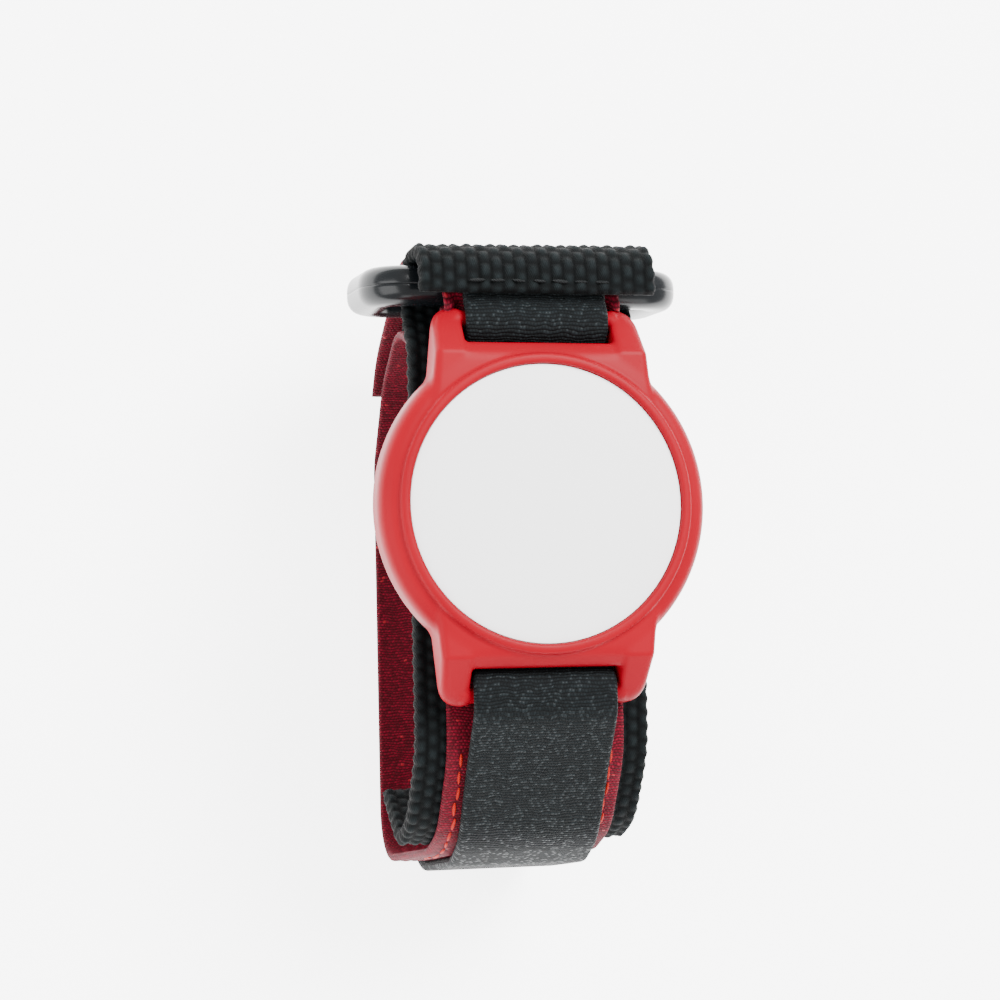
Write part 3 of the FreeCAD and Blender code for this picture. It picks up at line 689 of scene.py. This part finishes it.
def pad_route():
    under, over = TAPE_UNDER - PAD_STEP, TAPE_OVER_RING + TAPE / 2 + LAYER + PAD / 2
    loop_y, loop_z = NEAR_Y + LOOP_R, NEAR_Z - LOOP_R
    whole = joined([(FLAP_Y, over, 0.0), (loop_y, over, LOOP_R - 0.4), (loop_y, loop_z, LOOP_R),
                    (NEAR_Y - 2.4, loop_z, 3.0), (NEAR_Y - 6.9, under, 3.0), (0.0, under, 0.0)], PAD_STEP)
    turn_y, turn_z, _ = whole[7]
    end = (turn_y + PAD_TAIL * math.cos(PAD_TUCK), turn_z - PAD_TAIL * math.sin(PAD_TUCK), 0.0)
    return whole[:7] + [(turn_y, turn_z, PAD_BEND), end]


def tab_route():
    """The narrow tape from below the fold on the ring to the tab's tip."""
    outside = parallel(strap_line()[4:7], -(TAPE / 2 + RUNNING + HOOK + LAYER + TAPE / 2))
    landing = along(outside[2], outside[1], 0.8)
    tip = along(outside[1], outside[0], 4.7)
    return [(FAR_Y + FOLD_R, TAB_TOP, 0.0), (FAR_Y + FOLD_R, HINGE_Z - 1.6, 3.0),
            landing + (6.0,), outside[1][:2] + (12.0,), tip + (0.0,)]


def hook_route():
    tab = tab_route()
    begin, end = along(tab[2], tab[3], 1.5), along(tab[4], tab[3], 0.8)
    return parallel([begin + (0.0,), tab[3], end + (0.0,)], -(TAPE / 2 + LAYER + HOOK / 2))


# ---------------------------------------------------------------- bands of tape

def smooth(t):
    t = np.clip(t, 0.0, 1.0)
    return t * t * (3 - 2 * t)


def frame_of(line):
    """Unit outward normals along a line in the YZ plane, and the length run up to each point."""
    slope = np.gradient(line, axis=0)
    slope /= np.linalg.norm(slope, axis=1)[:, None]
    run = np.concatenate([[0], np.cumsum(np.linalg.norm(np.diff(line, axis=0), axis=1))])
    return np.stack([slope[:, 1], -slope[:, 0]], 1), run


def spread(width, count, edge):
    """Places across a tape: even ones between the selvedges, and a quarter round at each selvedge."""
    inner = np.linspace(edge - width / 2, width / 2 - edge, count)
    rim = width / 2 - edge + edge * np.sin(np.radians([30.0, 60.0, 90.0]))
    return np.concatenate([-rim[::-1], inner, rim])


def band(name, line, width, thick, material, count, relief=None, drift=None, lift=None, edge=0.45,
         pull=None, soft_ends=(True, True)):
    """A closed band of tape along a line: rounded selvedges, and a relief on both of its faces.

    relief(x, run, side) is (height, attributes), drift(line) moves each row sideways, lift(x, line)
    raises a point from the wrist, and pull(run) draws the selvedges in.
    """
    out, run = frame_of(line)
    x = spread(width, count, edge)
    rim = np.clip((np.abs(x) - (width / 2 - edge)) / edge, 0, 1)
    half = thick / 2 * np.sqrt(np.clip(1 - rim ** 2, 0, 1))
    ends = np.ones(len(run))
    for ending, away in zip(soft_ends, (run, run[-1] - run)):
        if ending:
            ends *= np.sqrt(np.clip(1 - (1 - np.clip(away / 0.5, 0, 1)) ** 2, 0.12, 1))
    xs = np.concatenate([x, x[-2:0:-1]])
    side = np.concatenate([np.ones(len(x)), -np.ones(len(x) - 2)])
    halves = np.concatenate([half, half[-2:0:-1]])
    grid_x, grid_run = np.meshgrid(xs, run)
    height = side * halves * ends[:, None]
    floats = {}
    if relief is not None:
        raised, floats = relief(grid_x, grid_run, side[None, :] + 0 * grid_x)
        height = height + side * raised * (halves / (thick / 2)) * ends[:, None]
        floats = {key: value.ravel() for key, value in floats.items()}
    if lift is not None:
        height = height + lift(grid_x, line)
    across = grid_x.copy()
    if pull is not None:
        across -= np.sign(grid_x) * pull(grid_run) * np.clip((np.abs(grid_x) - width / 2 + 1.2) / 1.2, 0, 1)
    if drift is not None:
        across = across + drift(line)[:, None]
    points = np.stack([across, line[:, 0][:, None] + out[:, 0][:, None] * height,
                       line[:, 1][:, None] + out[:, 1][:, None] * height], -1)
    rows, columns = grid_x.shape
    faces = grid_faces(rows, columns)
    for row in (0, rows - 1):
        base = row * columns
        for k in range(len(x) - 1):
            face = [base + k, base + k + 1,
                    base + (columns - k - 1) % columns, base + (columns - k) % columns]
            face = [v for place, v in enumerate(face) if v not in face[:place]]
            faces.append(face if row == 0 else face[::-1])
    uv = np.stack([grid_x + np.where(side > 0, 0.0, 61.0), grid_run], -1).reshape(-1, 2)
    made = new_mesh(name, points.reshape(-1, 3), faces, material, 60.0, uv, floats)
    return outwards(made)


def outwards(made):
    """Turns a closed mesh's faces outwards, by the sign of the volume within it."""
    mesh = made.data
    mesh.calc_loop_triangles()
    index = np.zeros(len(mesh.loop_triangles) * 3, np.int32)
    mesh.loop_triangles.foreach_get("vertices", index)
    place = np.zeros(len(mesh.vertices) * 3, np.float32)
    mesh.vertices.foreach_get("co", place)
    a, b, c = place.reshape(-1, 3)[index].astype(float).reshape(-1, 3, 3).transpose(1, 0, 2)
    if (a * np.cross(b, c)).sum() < 0:
        mesh.flip_normals()
    return made


def chance(*places):
    """A repeatable number from 0 to 1 for each cell."""
    mixed = sum(np.floor(p) * k for p, k in zip(places, (12.9898, 78.233, 37.719)))
    value = np.sin(mixed) * 43758.5453
    return value - np.floor(value)


def webbing_relief(x, run, side):
    """Staggered floats of the webbing's yarns, with the share of each crown, which the material turns into
    painted highlight and painted shade, and their slant.
    """
    strap = settings().strap
    yarn = (x + PAD_W / 2) / strap.yarn_across
    odd = np.floor(yarn) % 2
    picks = run / strap.yarn_along + 0.5 * odd + np.where(side > 0, 0.0, 0.5)
    over = np.sin(math.pi * (yarn % 1.0)) ** 0.75
    crown = over * (0.18 + 0.82 * np.sin(math.pi * (picks % 1.0)))
    crown = crown * (0.84 + 0.3 * chance(yarn, picks, side + 3.0))
    return strap.yarn_relief * (crown - 0.62), {"crown": np.clip(crown, 0, 1), "slant": odd - 0.5}


def tape_drift(line):
    """The narrow tape lies to one side where it rounds the turn."""
    y, z = line[:, 0], line[:, 1]
    return settings().strap.drift * smooth((39.5 - z) / 32.0) * smooth((-y - 2) / 30)


def lining_lift(x, line):
    """Curled corners beside the flap, and gathers at the turn."""
    y, z = line[:, 0][:, None], line[:, 1][:, None]
    corner = smooth((np.abs(x) - 8.25) / 1.3) * np.where(x < 0, 1.7, 1.2)
    curl = corner * smooth((y - 21.7) / 0.5) * smooth((23.3 - y) / 0.8) * (z > 37.0)
    gathers = 0.11 * np.sin(x * 5.1 + 0.6 * np.sin(z)) * smooth((24.0 - z) / 4) * (y < -30)
    return curl + gathers * smooth((9.4 - np.abs(x)) / 1.5)


def build_webbing():
    line = sampled(pad_route(), settings().strap.yarn_along / (7))
    yarns = round(PAD_W / settings().strap.yarn_across)
    made = band("webbing", line, PAD_W, PAD - 0.1, MATERIALS["webbing"], yarns * 5 + 1,
                relief=webbing_relief, edge=0.5, lift=lambda x, line: -0.012 * x * smooth(line[:, :1] - 22.5),
                pull=lambda run: 0.09 + 0.09 * np.cos(2 * math.pi * run / settings().strap.yarn_along))
    finish_piece(made, "holder", "black_webbing", "webbing_pad")


def build_lining():
    made = band("lining", sampled(lining_route(), 0.45), LINING_W, LINING, MATERIALS["lining"], 61,
                lift=lining_lift, edge=0.4, soft_ends=(True, False))
    finish_piece(made, "holder", "red_tape", "lining_tape")


def build_tape():
    made = band("narrow_tape", sampled(tape_route(), 0.5), TAPE_W, TAPE, MATERIALS["tape"], 33,
                drift=tape_drift, soft_ends=(True, False))
    finish_piece(made, "holder", "black_tape", "strap_tape")


def build_tab():
    """The tab's two woven layers along the tab's route, in place of the tab's CAD tapes."""
    start, end = (0, HINGE_Y * MM, (HINGE_Z + 3.0) * MM), (0, HINGE_Y * MM, (HINGE_Z - 3.5) * MM)
    for name, route, width, thick, key, slot, stands_for in (
            ("tab_tape_woven", tab_route(), TAPE_W, TAPE, "tape", "black_tape", "tab_tape"),
            ("tab_lining_woven", parallel(tab_route(), LINING_STEP), LINING_W, LINING, "lining", "red_tape",
             "tab_lining")):
        made = band(name, sampled(route, 0.4), width, thick, MATERIALS[key], 33, soft_ends=(False, True))
        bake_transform(made)
        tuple(start)
        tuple(end)
        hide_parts(stands_for)


# ---------------------------------------------------------------- case, face and what the case holds

def build_case():
    case = settings().case

    def distance(points):
        return case_distance(points, case)

    reach = np.array([CASE_R, LUG_TIP_Y, 0.0]) + 0.6
    lowest = [-reach[0], -reach[1], UNDER_Z - FACE_Z - 0.5]
    highest = [reach[0], reach[1], BEZEL_Z - FACE_Z + 0.5]
    points, faces = surface_of(distance, lowest, highest, case.grid * (1.0))
    points = settle(points, distance) + [0, 0, FACE_Z]
    made = new_mesh("moulded_case", points, faces, MATERIALS["case"], 75.0)
    outwards(made)
    finish_piece(made, "holder", "red_plastic", "case_shell")


def disc_profile(radius, foot, top, rounding, steps=6):
    """Half section of a disc with rounded edges, from the axis and back to it."""
    turn = np.linspace(0, math.pi / 2, steps)
    inner = radius - rounding
    lower = [(inner + rounding * math.sin(t), foot + rounding - rounding * math.cos(t)) for t in turn]
    upper = [(inner + rounding * math.cos(t), top - rounding + rounding * math.sin(t)) for t in turn]
    return [(0, foot), (radius * 0.6, foot)] + lower + upper + [(radius * 0.6, top), (0, top)]


def build_inside():
    """The face, the back plate, and the finishes of the magnet, its plate and the foam."""
    face = lathe("white_face", disc_profile(DISC_R, low("face_disc")[2], FACE_Z, 0.07), MATERIALS["face"])
    back = lathe("back_plate", disc_profile(BACK_R, UNDER_Z, UNDER_Z + BACK_T, 0.15), MATERIALS["hook"])
    finish_piece(face, "holder", "white_face", "face_disc")
    finish_piece(back, "holder", "black_plastic", "case_back")
    for name, key, slot in (("magnet", "ferrite", "ferrite"), ("steel_plate", "steel", "steel"),
                            ("foam_disc", "foam", "foam")):
        shown = frame["nodes"][name]
        shown.data.materials.clear()
        shown.data.materials.append(MATERIALS[key])


# ---------------------------------------------------------------- ring

def build_ring():
    """A moulded ring: a squared round section swept round a rectangle, with a parting line."""
    half = PAD_W / 2 + 0.4 + RING_R
    side, near, far = half - RING_CORNER, -RING_CORNER, RING_CORNER - RING_REACH
    centres = [(side, near, 0), (-side, near, 90), (-side, far, 180), (side, far, 270)]
    path, outward = [], []
    for k, (cx, cw, first) in enumerate(centres):
        for t in np.radians(np.linspace(first, first + 90, 13)):
            path.append((cx + RING_CORNER * math.cos(t), cw + RING_CORNER * math.sin(t)))
            outward.append((math.cos(t), math.sin(t)))
        nx, nw, _ = centres[(k + 1) % 4]
        last = np.radians(first + 90)
        a = np.array([cx + RING_CORNER * math.cos(last), cw + RING_CORNER * math.sin(last)])
        b = np.array([nx + RING_CORNER * math.cos(last), nw + RING_CORNER * math.sin(last)])
        for share in np.linspace(0, 1, 14)[1:-1]:
            path.append(tuple(a + (b - a) * share))
            outward.append((math.cos(last), math.sin(last)))
    angles = np.sort(np.concatenate([np.linspace(0, 2 * math.pi, 44, endpoint=False),
                                     [0.035, 2 * math.pi - 0.035, math.pi - 0.035, math.pi + 0.035]]))
    power = 2.6
    reach = RING_R / (np.abs(np.cos(angles)) ** power + np.abs(np.sin(angles)) ** power) ** (1 / power)
    reach = reach - 0.07 * (np.abs(np.sin(angles)) < 0.01)
    path, outward = np.array(path), np.array(outward)
    x = path[:, :1] + outward[:, :1] * np.cos(angles) * reach
    w = path[:, 1:] + outward[:, 1:] * np.cos(angles) * reach
    lift = np.broadcast_to(np.sin(angles) * reach, x.shape)
    y = NEAR_Y + w * math.sin(LEAN) + lift * math.cos(LEAN)
    z = NEAR_Z + w * math.cos(LEAN) - lift * math.sin(LEAN)
    points = np.stack([x, y, z], -1)
    rows = len(points)
    points = np.concatenate([points, points[:1]]).reshape(-1, 3)
    faces = np.array(grid_faces(rows + 1, len(angles)))
    faces = np.where(faces >= rows * len(angles), faces - rows * len(angles), faces)
    made = new_mesh("ring_moulding", points[:rows * len(angles)], faces.tolist(), MATERIALS["ring"], 60.0)
    outwards(made)
    finish_piece(made, "ring", "black_plastic", "ring")


# ---------------------------------------------------------------- what repeats: stitches and hooks

def geometry_group(name, inputs):
    """A geometry node group with a geometry input and output, and its named inputs."""
    inputs = [("Geometry", "NodeSocketGeometry", None)] + inputs
    return new_group(name, "GeometryNodeTree", inputs, ["Geometry"], "NodeSocketGeometry")


def stitch_group():
    """Stitches along a path: each is a bead of thread, turned and sized a little by chance."""
    group, source, target = geometry_group("sewn row", [
        ("Spacing", "NodeSocketFloat", 0.0021), ("Width", "NodeSocketFloat", 0.0004),
        ("Seed", "NodeSocketInt", 7), ("Material", "NodeSocketMaterial", None)])
    curve = node(group, "GeometryNodeMeshToCurve", {"Mesh": source.outputs["Geometry"]})
    rows = node(group, "GeometryNodeResampleCurve", {"Curve": curve.outputs[0],
                                                     "Length": source.outputs["Spacing"]}, mode="LENGTH")
    tangent = node(group, "GeometryNodeInputTangent")
    turn = node(group, "FunctionNodeAlignRotationToVector", {"Vector": tangent.outputs[0]}, axis="Z")
    bead = node(group, "GeometryNodeMeshUVSphere", {"Segments": 8, "Rings": 7, "Radius": 0.5})
    length = node(group, "ShaderNodeMath", {0: source.outputs["Spacing"], 1: 0.86}, operation="MULTIPLY")
    size = node(group, "ShaderNodeCombineXYZ", {0: source.outputs["Width"], 1: source.outputs["Width"],
                                                2: length.outputs[0]})
    vary = node(group, "FunctionNodeRandomValue", {2: 0.82, 3: 1.12, "Seed": source.outputs["Seed"]})
    scale = node(group, "ShaderNodeVectorMath", {0: size.outputs[0]}, operation="SCALE")
    group.links.new(vary.outputs[1], scale.inputs["Scale"])
    jog = node(group, "FunctionNodeRandomValue", {0: (-0.10, -0.10, -0.10), 1: (0.10, 0.10, 0.10),
                                                  "Seed": source.outputs["Seed"]}, data_type="FLOAT_VECTOR")
    turned = node(group, "FunctionNodeRotateRotation", {"Rotation": turn.outputs[0]}, rotation_space="LOCAL")
    group.links.new(jog.outputs[0], turned.inputs["Rotate By"])
    beads = node(group, "GeometryNodeInstanceOnPoints", {
        "Points": rows.outputs[0], "Instance": bead.outputs[0], "Rotation": turned.outputs[0],
        "Scale": scale.outputs[0]})
    real = node(group, "GeometryNodeRealizeInstances", {0: beads.outputs[0]})
    painted = node(group, "GeometryNodeSetMaterial", {"Geometry": real.outputs[0],
                                                      "Material": source.outputs["Material"]})
    group.links.new(painted.outputs[0], target.inputs[0])
    return group


def hook_group():
    """A small hook on every point of a grid, turned about the grid's normal by chance."""
    group, source, target = geometry_group("hook field", [
        ("Height", "NodeSocketFloat", 0.0006), ("Thickness", "NodeSocketFloat", 0.00016),
        ("Seed", "NodeSocketInt", 7), ("Material", "NodeSocketMaterial", None)])
    arc = node(group, "GeometryNodeCurveArc", {"Resolution": 7, "Radius": 0.5,
                                               "Start Angle": math.radians(-10.0),
                                               "Sweep Angle": math.radians(215.0)})
    upright = node(group, "GeometryNodeTransform", {"Geometry": arc.outputs[0]})
    for key, value in (("Translation", (0.0, 0.0, 0.45)), ("Rotation", (math.radians(90.0), 0.0, 0.0))):
        upright.inputs[key].default_value = value
    share = node(group, "ShaderNodeMath", {0: source.outputs["Thickness"], 1: source.outputs["Height"]},
                 operation="DIVIDE")
    section = node(group, "GeometryNodeCurvePrimitiveCircle", {"Resolution": 5, "Radius": share.outputs[0]})
    hook = node(group, "GeometryNodeCurveToMesh", {"Curve": upright.outputs[0],
                                                   "Profile Curve": section.outputs[0], "Fill Caps": True})
    normal = node(group, "GeometryNodeInputNormal")
    turn = node(group, "FunctionNodeAlignRotationToVector", {"Vector": normal.outputs[0]}, axis="Z")
    twist = node(group, "FunctionNodeRandomValue", {0: (0.0, 0.0, -0.5), 1: (0.0, 0.0, 0.5),
                                                    "Seed": source.outputs["Seed"]}, data_type="FLOAT_VECTOR")
    turned = node(group, "FunctionNodeRotateRotation", {"Rotation": turn.outputs[0]}, rotation_space="LOCAL")
    group.links.new(twist.outputs[0], turned.inputs["Rotate By"])
    field = node(group, "GeometryNodeInstanceOnPoints", {"Points": source.outputs["Geometry"],
                                                         "Instance": hook.outputs[0],
                                                         "Rotation": turned.outputs[0],
                                                         "Scale": source.outputs["Height"]})
    real = node(group, "GeometryNodeRealizeInstances", {0: field.outputs[0]})
    painted = node(group, "GeometryNodeSetMaterial", {"Geometry": real.outputs[0],
                                                      "Material": source.outputs["Material"]})
    group.links.new(painted.outputs[0], target.inputs[0])
    return group


def grown(name, points, edges, faces, group, values, material):
    """Runs a geometry node group over a small mesh, and keeps what it makes as a plain mesh object."""
    mesh = bpy.data.meshes.new(name + "_base")
    mesh.from_pydata([tuple(p) for p in np.asarray(points) * MM], edges, faces)
    mesh.update()
    base = bpy.data.objects.new(name + "_base", mesh)
    bpy.context.scene.collection.objects.link(base)
    modifier = base.modifiers.new("grow", "NODES")
    modifier.node_group = group
    sockets = {item.name: item.identifier for item in group.interface.items_tree
               if item.item_type == "SOCKET" and item.in_out == "INPUT"}
    for key, value in {**values, "Material": material}.items():
        modifier[sockets[key]] = value
    seen = bpy.context.evaluated_depsgraph_get()
    kept = bpy.data.meshes.new_from_object(base.evaluated_get(seen), depsgraph=seen)
    bpy.data.objects.remove(base)
    if not len(kept.polygons):
        raise RuntimeError("no geometry was grown for " + name)
    kept.materials.clear()
    kept.materials.append(material)
    kept.polygons.foreach_set("use_smooth", np.ones(len(kept.polygons), bool))
    made = bpy.data.objects.new(name, kept)
    bpy.context.scene.collection.objects.link(made)
    return made


def sew(name, points, group, key, body, slot, stands_for, seed=0):
    """A row of stitches through some points."""
    seams = settings().seams
    made = grown(name, points, [(k, k + 1) for k in range(len(points) - 1)], [], group,
                 {"Spacing": seams.stitch * MM, "Width": seams.thread * MM, "Seed": seams.seed + seed},
                 MATERIALS[key])
    return finish_piece(made, body, slot, stands_for)


def build_seams():
    group = stitch_group()
    for seed, (stands_for, body, sink) in enumerate((
            ("flap_seam", "holder", 0.12), ("pad_end_seam", "holder", 0.0),
            ("hook_seam_upper", "tab", 0.0), ("hook_seam_lower", "tab", 0.0))):
        a, b = low(stands_for), high(stands_for)
        middle = (a + b) / 2
        row = [(x, middle[1], middle[2] - sink) for x in np.linspace(a[0] + 1.0, b[0] - 1.0, 9)]
        sew("stitches_" + stands_for, row, group, "black thread", body, "black_thread", stands_for, seed)
    line = sampled(lining_route(), 0.5)
    out, _ = frame_of(line)
    foot = low("tape_seam_left")[2]
    chosen = (line[:, 0] < high("tape_seam_left")[1] + 1.5) & (line[:, 1] > foot)
    face = line[chosen] + out[chosen] * (LINING / 2 + 0.02)
    for stands_for in ("tape_seam_left", "tape_seam_right"):
        x = (low(stands_for)[0] + high(stands_for)[0]) / 2
        wander = 0.12 * np.sin(np.arange(len(face)) * 0.9)
        sew("stitches_" + stands_for, np.column_stack([x + wander, face]), group, "orange thread", "holder",
            "red_thread", stands_for, 11)


def build_hooks():
    """The hook patch: a thin backing, and a field of hooks on the side towards the strap."""
    width = TAPE_W - 1.6
    backing, reach = 0.35, HOOK + 0.02
    line = sampled(parallel(hook_route(), (HOOK - backing) / 2), 0.6)
    made = band("hook_backing", line, width, backing, MATERIALS["hook"], 15, edge=0.15)
    finish_piece(made, "tab", "hook_plastic", "hook_patch")
    inner = sampled(parallel(hook_route(), HOOK / 2 - backing), 0.72)
    out, _ = frame_of(inner)
    columns = np.linspace(-width / 2 + 0.5, width / 2 - 0.5, 19)
    points = [(x, y, z) for y, z in inner[1:-1] for x in columns]
    faces = grid_faces(len(inner) - 2, len(columns), wrap=False)
    normal = np.cross(np.subtract(points[faces[0][1]], points[faces[0][0]]),
                      np.subtract(points[faces[0][3]], points[faces[0][0]]))
    if normal[1] > 0:
        faces = [face[::-1] for face in faces]
    hooks = grown("hooks", points, [], faces, hook_group(),
                  {"Height": (reach - backing) * 0.6 * MM, "Thickness": 0.085 * MM,
                   "Seed": settings().seams.seed},
                  MATERIALS["hook"])
    finish_piece(hooks, "tab", "hook_plastic")


# ---------------------------------------------------------------- stage

def area_light(name, place, power, size, target=(0, 0, 0.03)):
    data = bpy.data.lights.new(name, "AREA")
    data.energy, data.size = power, size
    made = bpy.data.objects.new(name, data)
    made.location = place
    made.rotation_euler = (Vector(target) - Vector(place)).to_track_quat("-Z", "Y").to_euler()
    bpy.context.scene.collection.objects.link(made)


def build_stage():
    """A white floor, a bright sky, soft lights and the camera."""
    material, _, shader = new_material("white floor")
    shader.inputs["Base Color"].default_value = (0.9, 0.9, 0.9, 1)
    shader.inputs["Roughness"].default_value = 0.9
    shader.inputs["Emission Color"].default_value = (1, 1, 1, 1)
    shader.inputs["Emission Strength"].default_value = 4.5
    mesh = bpy.data.meshes.new("floor")
    reach, under = 3, -0.0002
    mesh.from_pydata([(-reach, -reach, under), (reach, -reach, under), (reach, reach, under),
                      (-reach, reach, under)], [], [(0, 1, 2, 3)])
    mesh.materials.append(material)
    floor = bpy.data.objects.new("floor", mesh)
    bpy.context.scene.collection.objects.link(floor)
    world = bpy.data.worlds.new("studio")
    world.use_nodes = True
    world.node_tree.nodes["Background"].inputs["Color"].default_value = (1, 1, 1, 1)
    world.node_tree.nodes["Background"].inputs["Strength"].default_value = 1.1
    bpy.context.scene.world = world
    area_light("key", (0.22, 0.30, 0.55), 11.5, 0.35)
    area_light("fill", (-0.45, -0.10, 0.40), 3.6, 0.5)
    area_light("low", (0.10, -0.50, 0.25), 1.6, 0.4)
    # the camera: its right, up and back directions, and its distance from the face's centre
    back = Vector((-0.254, -0.0715, 0.9645)).normalized()
    right = Vector((0.967, -0.0225, 0.2525))
    right = (right - back * right.dot(back)).normalized()
    up = back.cross(right)
    data = bpy.data.cameras.new("camera")
    data.lens, data.sensor_width = 90.9, 36.0
    data.clip_start, data.clip_end = 0.01, 20.0
    camera = bpy.data.objects.new("camera", data)
    place = Vector((0, 0, FACE_Z * MM)) + right * -0.00509 + up * 0.00033 + back * 0.270
    turn = Matrix((right, up, back)).transposed().to_4x4()
    camera.matrix_world = Matrix.Translation(place) @ turn
    bpy.context.scene.collection.objects.link(camera)
    bpy.context.scene.camera = camera


# ---------------------------------------------------------------- operators and panel

class PINHOLDER_OT_materials(bpy.types.Operator):
    """Make the finishes"""
    bl_idname = "pin_holder.materials"
    bl_label = "Finishes"

    def execute(self, context):
        make_materials()
        return {"FINISHED"}


class PINHOLDER_OT_case(bpy.types.Operator):
    """Build the moulded case"""
    bl_idname = "pin_holder.case"
    bl_label = "Case"

    def execute(self, context):
        build_case()
        return {"FINISHED"}


class PINHOLDER_OT_inside(bpy.types.Operator):
    """Build the face and what the case holds"""
    bl_idname = "pin_holder.inside"
    bl_label = "Face and Magnet"

    def execute(self, context):
        build_inside()
        return {"FINISHED"}


class PINHOLDER_OT_ring(bpy.types.Operator):
    """Build the ring"""
    bl_idname = "pin_holder.ring"
    bl_label = "Ring"

    def execute(self, context):
        build_ring()
        return {"FINISHED"}


class PINHOLDER_OT_webbing(bpy.types.Operator):
    """Build the webbing pad"""
    bl_idname = "pin_holder.webbing"
    bl_label = "Webbing"

    def execute(self, context):
        build_webbing()
        return {"FINISHED"}


class PINHOLDER_OT_tapes(bpy.types.Operator):
    """Build the lining and the narrow tape"""
    bl_idname = "pin_holder.tapes"
    bl_label = "Tapes"

    def execute(self, context):
        build_lining()
        build_tape()
        return {"FINISHED"}


class PINHOLDER_OT_tab(bpy.types.Operator):
    """Build the tab with its hooks"""
    bl_idname = "pin_holder.tab"
    bl_label = "Tab"

    def execute(self, context):
        build_tab()
        build_hooks()
        return {"FINISHED"}


class PINHOLDER_OT_seams(bpy.types.Operator):
    """Sew the seams"""
    bl_idname = "pin_holder.seams"
    bl_label = "Seams"

    def execute(self, context):
        build_seams()
        return {"FINISHED"}


class PINHOLDER_OT_stage(bpy.types.Operator):
    """Set up the floor, the lights and the camera"""
    bl_idname = "pin_holder.stage"
    bl_label = "Stage"

    def execute(self, context):
        build_stage()
        return {"FINISHED"}


STEPS = (PINHOLDER_OT_materials, PINHOLDER_OT_case, PINHOLDER_OT_inside, PINHOLDER_OT_ring,
         PINHOLDER_OT_webbing, PINHOLDER_OT_tapes, PINHOLDER_OT_tab, PINHOLDER_OT_seams, PINHOLDER_OT_stage)


class PINHOLDER_PT_panel(bpy.types.Panel):
    """The steps and settings of the pin holder"""
    bl_label = "Pin Holder"
    bl_idname = "PINHOLDER_PT_panel"
    bl_space_type = "VIEW_3D"
    bl_region_type = "UI"
    bl_category = "Pin Holder"

    def draw(self, context):
        for group in ("case", "strap", "seams", "colours"):
            box = self.layout.box()
            values = getattr(context.scene.pin_holder, group)
            for key in values.__annotations__:
                box.prop(values, key)
        for step in STEPS:
            self.layout.operator(step.bl_idname)


CLASSES = (CaseSettings, StrapSettings, SeamSettings, ColourSettings, PinHolderSettings,
           *STEPS, PINHOLDER_PT_panel)


def register():
    for one in CLASSES:
        bpy.utils.register_class(one)
    bpy.types.Scene.pin_holder = PointerProperty(type=PinHolderSettings)


def unregister():
    del bpy.types.Scene.pin_holder
    for one in reversed(CLASSES):
        bpy.utils.unregister_class(one)


def main():
    register()
    for step in STEPS:
        family, name = step.bl_idname.split(".")
        if getattr(getattr(bpy.ops, family), name)() != {"FINISHED"}:
            raise RuntimeError(step.bl_label + " did not finish")


if __name__ == "__main__":
    main()
